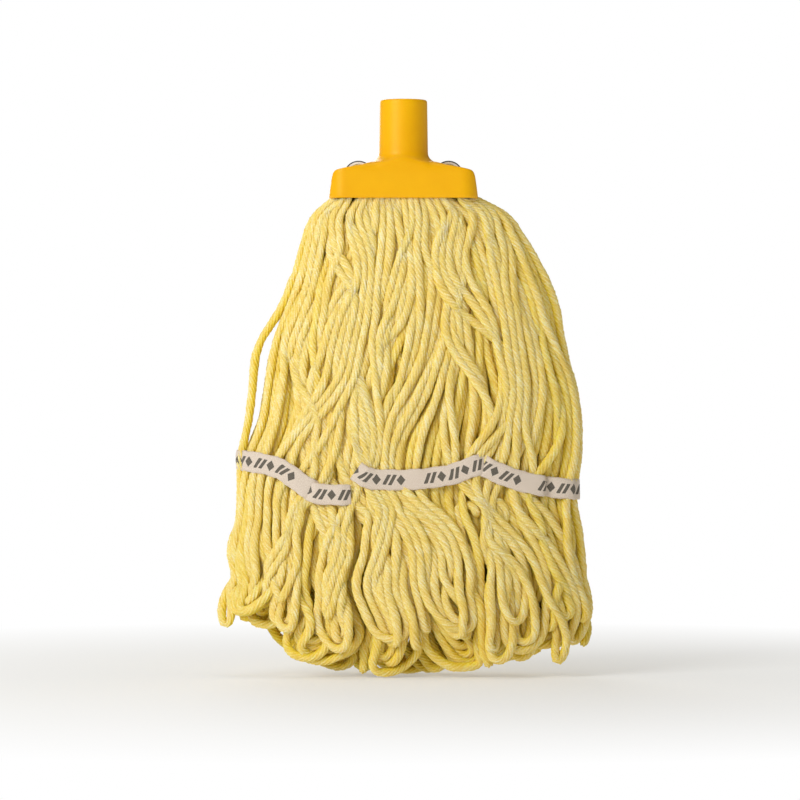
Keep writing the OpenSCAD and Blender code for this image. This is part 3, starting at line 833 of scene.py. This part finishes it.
# ------------------------------------------------------------------ materials
class Shader:
    """Adds nodes to a tree; an input takes either a value or another node's output."""

    def __init__(self, tree):
        self.tree = tree

    def fill(self, node, inputs):
        for key, value in inputs.items():
            if isinstance(value, bpy.types.NodeSocket):
                self.tree.links.new(value, node.inputs[key])
            else:
                node.inputs[key].default_value = value

    def node(self, kind, inputs=None, **settings):
        made = self.tree.nodes.new("ShaderNode" + kind)
        for key, value in settings.items():
            setattr(made, key, value)
        self.fill(made, inputs or {})
        return made

    def math(self, operation, *values):
        return self.node("Math", dict(enumerate(values)), operation=operation).outputs[0]

    def vector_math(self, operation, *values):
        return self.node("VectorMath", dict(enumerate(values)), operation=operation).outputs

    def place(self):
        return self.node("TexCoord").outputs["Object"]

    def split(self, vector):
        return self.node("SeparateXYZ", {0: vector}).outputs

    def join(self, inputs):
        return self.node("CombineXYZ", inputs).outputs[0]

    def noise(self, vector, scale, detail=2.0, roughness=0.5):
        return self.node("TexNoise", {"Vector": vector, "Scale": scale, "Detail": detail,
                                      "Roughness": roughness}).outputs["Fac"]

    def ramp(self, factor, *stops):
        made = self.node("ValToRGB", {"Fac": factor})
        elements = made.color_ramp.elements
        while len(elements) < len(stops):
            elements.new(0.5)
        for element, (position, color) in zip(elements, stops):
            element.position = position
            element.color = (*color, 1)
        return made.outputs["Color"]

    def mix(self, factor, a, b, blend="MIX"):
        return self.node("Mix", {0: factor, 6: a, 7: b}, data_type="RGBA",
                         blend_type=blend).outputs[2]

    def remap(self, value, from_min=0.0, from_max=1.0, to_min=0.0, to_max=1.0):
        return self.node("MapRange", {0: value, 1: from_min, 2: from_max, 3: to_min,
                                      4: to_max}).outputs[0]

    def bump(self, height, strength, distance):
        return self.node("Bump", {"Height": height, "Strength": strength,
                                  "Distance": distance}).outputs["Normal"]


def new_material(name):
    material = bpy.data.materials.new(name)
    material.use_nodes = True
    tree = material.node_tree
    return material, Shader(tree), tree.nodes["Principled BSDF"]


def srgb(*channels):
    return tuple((c / 255) / 12.92 if c / 255 <= 0.04045 else ((c / 255 + 0.055) / 1.055) ** 2.4
                 for c in channels)


def yarn_material():
    m, sh, bsdf = new_material("cotton_yarn")
    around, along = sh.split(sh.node("UVMap", uv_map="strand").outputs["UV"])[:2]
    tint = sh.node("Attribute", attribute_name="tint").outputs["Fac"]
    seed = sh.math("MULTIPLY", tint, 37.0)

    def on_strand(along_scale, around_scale=None, **noise):
        """Noise in the strand's own coordinates, different for each strand."""
        inputs = {1: sh.math("MULTIPLY", along, along_scale), 2: seed}
        if around_scale:
            inputs[0] = sh.math("MULTIPLY", around, around_scale)
        return sh.noise(sh.join(inputs), scale=1.0, **noise)

    streak = on_strand(0.22, 26.0, detail=3.0, roughness=0.6)   # streaks along the singles
    slow = on_strand(0.045, detail=2.0)                         # slow changes of dye
    single = on_strand(0.07, 9.0, detail=1.0)
    place = sh.place()
    speck = sh.noise(place, scale=1050.0, detail=2.0, roughness=0.6)
    # weighted sum of the noises picks the dye
    dye = sh.math("MULTIPLY_ADD", streak, 0.40, 0.0)
    dye = sh.math("MULTIPLY_ADD", single, 0.35, dye)
    dye = sh.math("MULTIPLY_ADD", slow, 0.25, dye)
    dye = sh.math("ADD", dye, sh.math("MULTIPLY_ADD", speck, 0.5, -0.25))
    color = sh.ramp(dye, (0.32, srgb(235, 199, 86)), (0.5, srgb(248, 218, 127)),
                    (0.66, srgb(255, 240, 180)))
    # painted shade: deeper yellow in the grooves, on sides turned into the head and on inner
    # strands; painted highlight: paler, whiter yellow on the open crests
    painted_light = sh.node("Attribute", attribute_name="painted_light").outputs["Fac"]
    shade = sh.ramp(painted_light, (0.0, (0.88, 0.84, 0.07)), (0.40, (0.96, 0.93, 0.38)),
                    (0.74, (1.0, 1.0, 0.97)), (1.0, (1.02, 1.03, 1.23)))
    fuzz = sh.noise(place, scale=1500.0)
    height = sh.math("MULTIPLY_ADD", fuzz, 0.6, streak)
    rough_normal = sh.bump(height, strength=0.6, distance=0.0006)
    # loose fibres soften the shading across each strand
    outward = sh.node("Attribute", attribute_name="outward").outputs["Vector"]
    outward = sh.node("VectorTransform", {0: outward}, vector_type="NORMAL",
                      convert_from="OBJECT", convert_to="WORLD").outputs[0]
    softened_normal = sh.node("Mix", {0: 0.33, 4: rough_normal, 5: outward},
                              data_type="VECTOR").outputs[1]
    sh.fill(bsdf, {
        "Normal": sh.vector_math("NORMALIZE", softened_normal)[0],
        "Base Color": sh.mix(1.0, color, shade, blend="MULTIPLY"),
        "Roughness": 0.92,
        "Sheen Weight": 0.18,
        "Sheen Roughness": 0.5,
        "Sheen Tint": (*srgb(255, 246, 200), 1),
        "Specular IOR Level": 0.15,
        "Subsurface Weight": 0.32,
        "Subsurface Radius": (1.0, 0.75, 0.22),
        "Subsurface Scale": 0.0045})
    return m


def plastic_material():
    m, sh, bsdf = new_material("socket_yellow")
    place = sh.place()
    cloud = sh.noise(place, scale=28.0, detail=3.0)
    grain = sh.noise(place, scale=900.0)
    sh.fill(bsdf, {
        "Base Color": sh.ramp(cloud, (0.3, srgb(239, 173, 0)), (0.55, srgb(244, 180, 0)),
                              (0.8, srgb(250, 188, 0))),
        "Normal": sh.bump(grain, strength=0.06, distance=0.0003),
        "Roughness": sh.remap(cloud, to_min=0.34, to_max=0.46),
        "Specular IOR Level": 0.42,
        "Specular Tint": (1.0, 0.82, 0.45, 1),
        "Subsurface Weight": 0.1,
        "Subsurface Radius": (0.004, 0.002, 0.0006),
        "Subsurface Scale": 0.4})
    return m


def steel_material(name, washer):
    m, sh, bsdf = new_material(name)
    lo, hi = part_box("clamp_washer_right")
    axis = ((lo[0] + hi[0]) / 2, 0.0, (lo[2] + hi[2]) / 2)
    washer_r = (hi[2] - lo[2]) / 2
    place = sh.place()
    grain = sh.noise(place, scale=260.0, detail=4.0)
    color = sh.ramp(grain, (0.3, (0.80, 0.81, 0.82)), (0.7, (0.97, 0.97, 0.97)))
    # share of the washer's radius, the same round the left and the right axis
    x, _, z = sh.split(place)
    folded = sh.join({0: sh.math("ABSOLUTE", x), 2: z})
    distance = sh.vector_math("LENGTH", sh.vector_math("SUBTRACT", folded, axis)[0])["Value"]
    share = sh.math("DIVIDE", distance, washer_r)
    # painted light on the front of each washer, from the outside in: a painted dark edge, a painted
    # bright highlight ring, then a painted reflection of the yellow socket
    rim = sh.ramp(share, (0.74, (0.50, 0.36, 0.07)), (0.80, (1, 1, 1)), (0.90, (1, 1, 1)),
                  (0.92, (0.05, 0.05, 0.055)), (0.975, (0.04, 0.04, 0.045)),
                  (0.99, (0.5, 0.5, 0.5)))
    if washer:
        normal_y = sh.split(sh.node("NewGeometry").outputs["True Normal"])[1]
        painted_front = sh.math("LESS_THAN", normal_y, -0.5)
    else:
        painted_front = sh.node("Value").outputs[0]
        painted_front.default_value = 0.0
    # the washers' front faces carry the painted ring and are made less metallic so that it shows
    sh.fill(bsdf, {
        "Base Color": sh.mix(painted_front, color, rim, blend="MULTIPLY"),
        "Metallic": sh.math("MULTIPLY_ADD", painted_front, -0.7, 1.0),
        "Roughness": sh.remap(grain, to_min=0.16, to_max=0.34)})
    return m


def thread_material():
    m, sh, bsdf = new_material("sewing_thread")
    grain = sh.noise(sh.place(), scale=2500.0)
    color = sh.ramp(grain, (0.3, srgb(214, 204, 190)), (0.7, srgb(244, 238, 228)))
    sh.fill(bsdf, {"Base Color": color, "Roughness": 0.8})
    return m


TAPE_W, TAPE_T = 13.8, 0.7                  # width and thickness
MOTIF = 16.4                                # length of one motif along the tape
MOTIFS = 5                                  # motifs in a run
REPEAT = 93.0                               # from one run of motifs to the next


def tape_material():
    """Plain weave with a motif; UV in millimetres, u along the tape and v across it."""
    m, sh, bsdf = new_material("woven_tape")
    math_ = sh.math
    uv = sh.node("UVMap", uv_map="tape").outputs["UV"]
    u, v = sh.split(uv)[:2]
    warp = math_("SINE", math_("MULTIPLY", u, 2 * math.pi / 1.1))
    weft = math_("SINE", math_("MULTIPLY", v, 2 * math.pi / 0.9))
    blotch = sh.noise(uv, scale=1.6, detail=4.0, roughness=0.7)
    height = math_("MULTIPLY_ADD", math_("MULTIPLY", warp, weft), 0.25, blotch)
    cloth = sh.ramp(height, (0.25, srgb(196, 176, 158)), (0.5, srgb(222, 206, 190)),
                    (0.75, srgb(244, 234, 223)))

    def repeat(value, length):
        return math_("MULTIPLY", math_("FRACT", math_("MULTIPLY", value, 1 / length)), length)

    # the motif: two broad slanted bars and a filled lozenge, in runs with a blank between
    along = repeat(u, REPEAT)
    in_run = math_("LESS_THAN", along, MOTIFS * MOTIF)
    cell = repeat(along, MOTIF)
    across = math_("SUBTRACT", v, TAPE_W / 2)
    off_mid = math_("ABSOLUTE", across)
    band = math_("LESS_THAN", off_mid, 3.4)
    lean = math_("SUBTRACT", cell, math_("MULTIPLY", across, 0.5))
    bars = [math_("LESS_THAN", math_("ABSOLUTE", math_("SUBTRACT", lean, centre)), 1.25)
            for centre in (2.6, 6.5)]
    bars = math_("MULTIPLY", math_("MAXIMUM", *bars), band)
    from_centre = math_("ABSOLUTE", math_("SUBTRACT", cell, 12.2))
    lozenge = math_("ADD", math_("MULTIPLY", from_centre, 1 / 3.0),
                    math_("MULTIPLY", off_mid, 1 / 3.7))
    mark = math_("MAXIMUM", bars, math_("LESS_THAN", lozenge, 1.0))
    mark = math_("MULTIPLY", mark, in_run)
    wear = math_("MULTIPLY_ADD", sh.noise(uv, scale=2.4, detail=3.0), 0.9, 0.42)
    ink = math_("MINIMUM", math_("MULTIPLY", mark, wear), 0.93)
    sh.fill(bsdf, {
        "Base Color": sh.mix(ink, cloth, (*srgb(52, 50, 40), 1)),
        "Normal": sh.bump(height, strength=0.5, distance=0.0003),
        "Roughness": 0.9,
        "Sheen Weight": 0.15})
    return m


YARN, PLASTIC, THREAD, WEAVE = (yarn_material(), plastic_material(), thread_material(),
                                tape_material())
STEEL = steel_material("zinc_steel", washer=False)
WASHER = steel_material("zinc_steel_washer", washer=True)

# ------------------------------------------------------------------ yarn: build the pieces
parts = {}


def leg_part(leg, x):
    """Name of the mesh that takes a leg above the tape, by the X of its middle."""
    place = "_inner"
    if leg.layer in OUTER:
        place = "" if abs(x + 8) < 45 else "_outer"
    return "strands_%s_%s%s" % ("front" if leg.side < 0 else "back",
                                "left" if x < -8 else "right", place)


def lay_piece(name, leg, C, U, V, S, r, first, last, style, phase, tint):
    """Resample one stretch of a strand and add it to its mesh."""
    k = max(4, int((S[last] - S[first]) / style["step"]))
    index = np.linspace(first, last, k)
    i = index.astype(int).clip(0, len(S) - 2)

    def mixed(values):
        w = (index - i).reshape([-1] + [1] * (values.ndim - 1))
        return values[i] * (1 - w) + values[i + 1] * w

    centre = mixed(C)
    x, y, z = centre.T
    hx, hy = half_width(x, z), extent(z, DEPTH)
    out = unit(np.stack([x / hx ** 2, y / hy ** 2, -0.02 * smooth(-345, -380, z)], -1), 1e-9)
    # the bundle's own rounding, for the shading of the loose fibres
    bulk = unit(np.stack([2.2 * x / hx ** 2, leg.side * np.maximum(np.abs(y) / hy, 0.65) / hy,
                          np.zeros(k)], -1))
    if name not in parts:
        parts[name] = Ropes(name)
    # inner strands take a lower share of the painted light, which paints them in deeper shade
    parts[name].add(centre, unit(mixed(U)), unit(mixed(V)), mixed(S), mixed(r), style, phase,
                    tint, out, bulk, depth=1.0 if leg.layer in OUTER else 0.75)


def lay_loop(m):
    """Lay one loop as three pieces, cut at the tape; returns its centre line."""
    a, b = pairs[m][:2]
    C = catmull(loop_points[m], np.linspace(0, N - 1, 640))
    s = run_length(C)
    total = s[-1]
    count = int(total / 1.0)
    S = np.linspace(0, total, count)
    C = sample(S, s, C)
    U, V = frames(C)
    below = ~(C[:, 2] > tape_mid(C[:, 0], C[:, 1]))
    lowest = int(np.argmin(C[:, 2]))
    cut_a = int(np.argmax(below[:lowest])) if below[:lowest].any() else lowest
    cut_b = lowest
    if below[lowest:].any():
        cut_b = count - 1 - int(np.argmax(below[lowest:][::-1]))
    phase = rng.uniform(0, TURN)
    tint = rng.random()
    outside = np.interp(S, [0, total * 0.45, total * 0.55, total],
                        [float(a.layer in OUTER)] * 2 + [float(b.layer in OUTER)] * 2)
    # uneven thickness along the strand
    r = radius(C[:, 2], outside > 0.5) * (
        1 + 0.055 * np.sin(S / rng.uniform(9, 17) + phase)
        + 0.045 * np.sin(S / rng.uniform(3.5, 6)) + 0.025 * np.sin(S / rng.uniform(1.6, 2.4)))
    r *= rng.uniform(0.96, 1.05)
    hanging = "%s_%s" % (CLUMPS[clump[m]], "front" if a.side < 0 else "back")
    for leg, first, last, name in ((a, 0, cut_a, None), (a, cut_a, cut_b, hanging),
                                   (b, cut_b, count - 1, None)):
        if last - first < 4:
            continue
        style = FINE if name or leg.layer in OUTER else PLAIN
        name = name or leg_part(leg, C[(first + last) // 2, 0])
        lay_piece(name, leg, C, U, V, S, r, first, last, style, phase, tint)
    return C


surface = np.concatenate([lay_loop(m) for m in range(M)])   # for laying the tape

# frame pieces each yarn mesh stands in for
STANDS = {"strands_front_left": ["yarn_front_left", "stray_strand"],
          "strands_front_right": ["yarn_front_right"],
          "strands_back_left": ["yarn_back_left"],
          "strands_back_right": ["yarn_back_right"]}
for name, ropes in parts.items():
    ob = ropes.build(YARN)
    if name.startswith("strands"):
        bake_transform(ob)
        if name in STANDS:
            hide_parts(*STANDS[name])
    else:
        body = name.rsplit("_", 1)[0]
        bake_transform(ob)
        if name.endswith("front"):
            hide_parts(body.replace("loops", "fringe"))


# ------------------------------------------------------------------ socket
def apply_modifiers(ob):
    graph = bpy.context.evaluated_depsgraph_get()
    mesh = bpy.data.meshes.new_from_object(ob.evaluated_get(graph))
    ob.modifiers.clear()
    ob.data = mesh
    return mesh


def add_smoothing(ob, passes):
    modifier = ob.modifiers.new("smooth", "SMOOTH")
    modifier.factor, modifier.iterations = 0.5, passes
    return modifier


def softened(source, name, voxel, passes):
    """Copy of a frame piece with rounded edges."""
    ob = link_object(name, bpy.data.meshes.new_from_object(source))
    remesh = ob.modifiers.new("remesh", "REMESH")
    remesh.mode, remesh.voxel_size = "VOXEL", voxel
    add_smoothing(ob, passes)
    mesh = apply_modifiers(ob)
    # blend the run-out of the tube's fillet into the front and the shoulders
    co = np.zeros(len(mesh.vertices) * 3)
    mesh.vertices.foreach_get("co", co)
    x, y, z = (co.reshape(-1, 3) / MM).T
    r = np.hypot(x, y)
    w = (smooth(16, 19, r) * (1 - smooth(30, 38, r)) * smooth(-37, -40, z)
         * (1 - smooth(-47, -52, z)) * (1 - smooth(6, 11, y)))
    group = ob.vertex_groups.new(name="fillet")
    for level in range(1, 9):
        index = np.nonzero((w > (level - 0.5) / 8) & (w <= (level + 0.5) / 8))[0]
        if len(index):
            group.add(index.tolist(), level / 8, "REPLACE")
    add_smoothing(ob, 70).vertex_group = "fillet"
    mesh = apply_modifiers(ob)
    mesh.polygons.foreach_set("use_smooth", np.ones(len(mesh.polygons), bool))
    return ob


for name in ("socket_shell", "rear_clamp_plate"):
    ob = softened(bpy.data.objects[name], "moulded_" + name,
                  voxel=0.0006, passes=14)
    ob.data.materials.clear()
    ob.data.materials.append(PLASTIC)
    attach(ob, "socket")
    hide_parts(name)

FRAME_MATERIALS = {
    "clamp_screw_left": STEEL, "clamp_screw_right": STEEL,
    "clamp_washer_left": WASHER, "clamp_washer_right": WASHER,
    "clamp_nut_left": STEEL, "clamp_nut_right": STEEL,
    "yarn_head": YARN, "head_tape": WEAVE, "head_stitching": THREAD,
    "band_stitching": THREAD, "band_tape_front": WEAVE, "band_tape_back": WEAVE}
for name, material in FRAME_MATERIALS.items():
    for slot in bpy.data.objects[name].material_slots:
        slot.material = material

# ------------------------------------------------------------------ gathering tape
RING_X, RING_Y, NP = 116.0, 26.0, 720       # half axes of the ring's ellipse, steps round it
PHI = np.linspace(0, TURN, NP + 1)[:-1]


def tape_ring():
    """Plan of the tape: the outermost reach of the strands, smoothed, in polar steps."""
    near = np.abs(surface[:, 2] - tape_mid(surface[:, 0], surface[:, 1])) < 7.5
    x, y = surface[near, 0], surface[near, 1]
    nx = np.sign(x) * (np.abs(x) / RING_X) ** 1.35 / RING_X
    ny = np.sign(y) * (np.abs(y) / RING_Y) ** 1.35 / RING_Y
    n = np.hypot(nx, ny) + 1e-9
    x, y = x + nx / n * STRAND_R * 1.05, y + ny / n * STRAND_R * 1.05
    rho = np.hypot(x / RING_X, y / RING_Y)
    bins = ((np.arctan2(y / RING_Y, x / RING_X) % TURN) / TURN * NP).astype(int) % NP
    reach = np.zeros(NP)
    np.maximum.at(reach, bins, rho)
    window = np.arange(-11, 12)
    reach = np.array([np.roll(reach, k) for k in window]).max(0)
    kernel = np.exp(-0.5 * (window / 5.0) ** 2)
    kernel /= kernel.sum()
    reach = np.convolve(np.concatenate([reach[-11:], reach, reach[:11]]), kernel, "valid")
    return RING_X * reach * np.cos(PHI), RING_Y * reach * np.sin(PHI)


ring_x, ring_y = tape_ring()


def ribbon_faces(nx, nz):
    """Front, back and edge faces of a grid of nx by nz points with its copy behind."""
    def at(i, j):
        return i * nz + j
    n, faces = nx * nz, []
    for i in range(nx - 1):
        for j in range(nz - 1):
            a, b, c, d = at(i, j), at(i + 1, j), at(i + 1, j + 1), at(i, j + 1)
            faces.append((a, b, c, d))
            faces.append((n + d, n + c, n + b, n + a))
    rim = ([at(i, 0) for i in range(nx)] + [at(nx - 1, j) for j in range(1, nz)]
           + [at(i, nz - 1) for i in range(nx - 2, -1, -1)]
           + [at(0, j) for j in range(nz - 2, 0, -1)])
    for k, a in enumerate(rim):
        b = rim[(k + 1) % len(rim)]
        faces.append((b, a, n + a, n + b))
    return faces


def ribbon(name, start, end, heights, inset, dive, u0):
    """Tape between two angles of the ring, anticlockwise from above; dive sinks its ends."""
    angle = np.linspace(start, end, 1600)
    ring = np.stack([ring_x, ring_y], -1)
    plan = sample(angle % TURN, np.append(PHI, TURN), np.concatenate([ring, ring[:1]]))
    s = running(np.hypot(*np.diff(plan, axis=0).T))
    nx, nz = int(s[-1] / 1.2) + 2, 11
    q = np.linspace(0, s[-1], nx)
    plan = sample(q, s, plan)
    t = unit(np.gradient(plan, axis=0))
    normal = np.stack([t[:, 1], -t[:, 0], np.zeros(nx)], -1)
    off = 0.45 - inset - dive * (1 - smooth(0, 6.5, np.minimum(q, s[-1] - q)))
    middle = np.stack([plan[:, 0] + normal[:, 0] * off, plan[:, 1] + normal[:, 1] * off,
                       look_up(heights, plan[:, 0])], -1)
    up = unit(np.cross(normal, unit(np.gradient(middle, axis=0))))
    length = run_length(middle)
    phase = np.random.default_rng(int(abs(start) * 100) + 3).uniform(0, 6.28, 6)
    v = np.linspace(0, 1, nz)[None]
    S = length[:, None]
    # out-of-plane buckles with edges turned in, and uneven edges
    buckle = (0.35 * np.sin(S / 3.1 + phase[0]) * np.abs(2 * v - 1) ** 2
              + 0.25 * np.sin(S / 7.3 + phase[1] + 2 * v) - 0.5 * np.abs(2 * v - 1) ** 3)
    ragged = (0.22 * np.sin(S / 2.3 + phase[2]) * (2 * v - 1)
              + 0.12 * np.sin(S / 0.9 + phase[3]) * np.abs(2 * v - 1))
    front = (middle[:, None] + up[:, None] * ((v - 0.5) * TAPE_W + ragged)[..., None]
             + normal[:, None] * buckle[..., None])
    back = front - normal[:, None] * TAPE_T
    points = np.concatenate([front.reshape(-1, 3), back.reshape(-1, 3)]) * MM
    uv = np.stack(np.broadcast_arrays(u0 + S, v * TAPE_W), -1).reshape(-1, 2)
    uv = np.concatenate([uv, uv])
    mesh = bpy.data.meshes.new(name)
    mesh.from_pydata([tuple(p) for p in points], [], ribbon_faces(nx, nz))
    layer = mesh.uv_layers.new(name="tape")
    corner = np.zeros(len(mesh.loops), int)
    mesh.loops.foreach_get("vertex_index", corner)
    layer.data.foreach_set("uv", uv[corner].ravel())
    mesh.polygons.foreach_set("use_smooth", np.ones(len(mesh.polygons), bool))
    mesh.materials.append(WEAVE)
    ob = link_object(name, mesh)
    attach(ob, "skirt")
    return ob, length[-1]


def front_angle(x):
    """Where the front of the ring passes x."""
    k = np.arange(NP // 2, NP)
    return float(PHI[k[np.argmin(np.abs(ring_x[k] - x))]])


# Start angle, end angle, inset, dive of the ends, one row per front run
FRONT_TAPES = [(np.pi - 0.5, front_angle(-57.5), 0.0, 2.6),
               (front_angle(-65.5), front_angle(-35.2), -0.9, 1.6),
               (front_angle(-31.6), front_angle(56.0), 0.2, 2.2),
               (front_angle(50.0), TURN + 0.5, -0.3, 3.5)]
u0 = 0
for i, (start, end, inset, dive) in enumerate(FRONT_TAPES):
    ob, length = ribbon("tape_front_%d" % (i + 1), start, end, RUNS[i], inset, dive, u0)
    u0 += length + 4
    if i == 0:
        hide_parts("band_tape_front")
ob, _ = ribbon("tape_back", 0.35, np.pi - 0.35, REAR, inset=-0.9, dive=0.6, u0=3)
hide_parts("band_tape_back", "band_stitching")


# ------------------------------------------------------------------ stage (metres)
def floor_material():
    m, sh, bsdf = new_material("paper_floor")
    place = sh.place()
    paper = sh.ramp(sh.noise(place, scale=3.0), (0.3, (0.93, 0.93, 0.93)),
                    (0.7, (0.95, 0.95, 0.95)))
    sh.fill(bsdf, {"Base Color": paper, "Roughness": 0.9})
    # the paper fades into the white of the studio with distance
    distance = sh.vector_math("LENGTH", place)["Value"]
    fade = sh.remap(distance, from_min=0.2, from_max=0.75)
    glow = sh.node("Emission").outputs[0]
    mixed = sh.node("MixShader", {0: fade, 1: bsdf.outputs[0], 2: glow}).outputs[0]
    sh.fill(sh.tree.nodes["Material Output"], {"Surface": mixed})
    return m


def make_floor(z):
    """Disc of rings round a centre point."""
    sides, rings = 64, [0.25, 0.6, 1.2, 2.4, 5.0, 9.0]
    mesh = bpy.data.meshes.new("floor")
    angles = np.linspace(0, TURN, sides + 1)[:-1]
    points = [(0, 0, z)] + [(r * math.cos(a), r * math.sin(a), z) for r in rings for a in angles]
    faces = [(0, 1 + i, 1 + (i + 1) % sides) for i in range(sides)]
    for k in range(len(rings) - 1):
        inner, outer_ = 1 + k * sides, 1 + (k + 1) * sides
        for i in range(sides):
            j = (i + 1) % sides
            faces.append((inner + i, outer_ + i, outer_ + j, inner + j))
    mesh.from_pydata(points, [], faces)
    ob = link_object("floor", mesh)
    mesh.materials.append(floor_material())
    return ob


def area_light(name, location, size, power, color=(1, 1, 1)):
    """Square light aimed at the middle of the head."""
    light = bpy.data.lights.new(name, "AREA")
    light.shape, light.size, light.energy, light.color = "SQUARE", size, power, color
    ob = link_object(name, light)
    ob.location = location
    aim = Vector((0, 0, -0.2)) - Vector(location)
    ob.rotation_euler = aim.to_track_quat("-Z", "Y").to_euler()


def make_world():
    """White and bright to the camera; dimmer and a little warm as a light."""
    world = bpy.data.worlds.new("studio")
    world.use_nodes = True
    sh = Shader(world.node_tree)
    seen = sh.node("LightPath").outputs["Is Camera Ray"]
    sh.fill(world.node_tree.nodes["Background"], {
        0: sh.mix(seen, (1, 0.93, 0.70, 1), (1, 1, 1, 1)),
        1: sh.remap(seen, to_min=0.21, to_max=1.0)})
    bpy.context.scene.world = world
    bpy.context.scene.view_settings.view_transform = "Standard"


def make_camera():
    """Level camera in front; the lens takes in VIEW_W at VIEW_DISTANCE."""
    sensor, view_w, view_distance = 36, 0.5369, 2.6
    camera = bpy.data.cameras.new("camera")
    camera.sensor_width, camera.lens = sensor, sensor * view_distance / view_w
    ob = link_object("camera", camera)
    ob.location = (-0.0024, -2.617, -0.2025)
    ob.rotation_euler = (math.pi / 2, 0, 0)
    camera.clip_end = 20
    bpy.context.scene.camera = ob


FLOOR_GAP = 0.0006
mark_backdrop(make_floor(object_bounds()[0][2] - FLOOR_GAP))
area_light("key", (-1.35, -1.55, 0.7), size=1.2, power=31.0)
area_light("fill", (-0.35, -2.3, -0.05), size=1.0, power=2.6, color=(1, 0.95, 0.78))
area_light("top", (-0.1, -0.1, 1.4), size=1.0, power=4.5)
area_light("rear", (-0.5, 2.1, 0.6), size=1.2, power=15)
make_world()
make_camera()
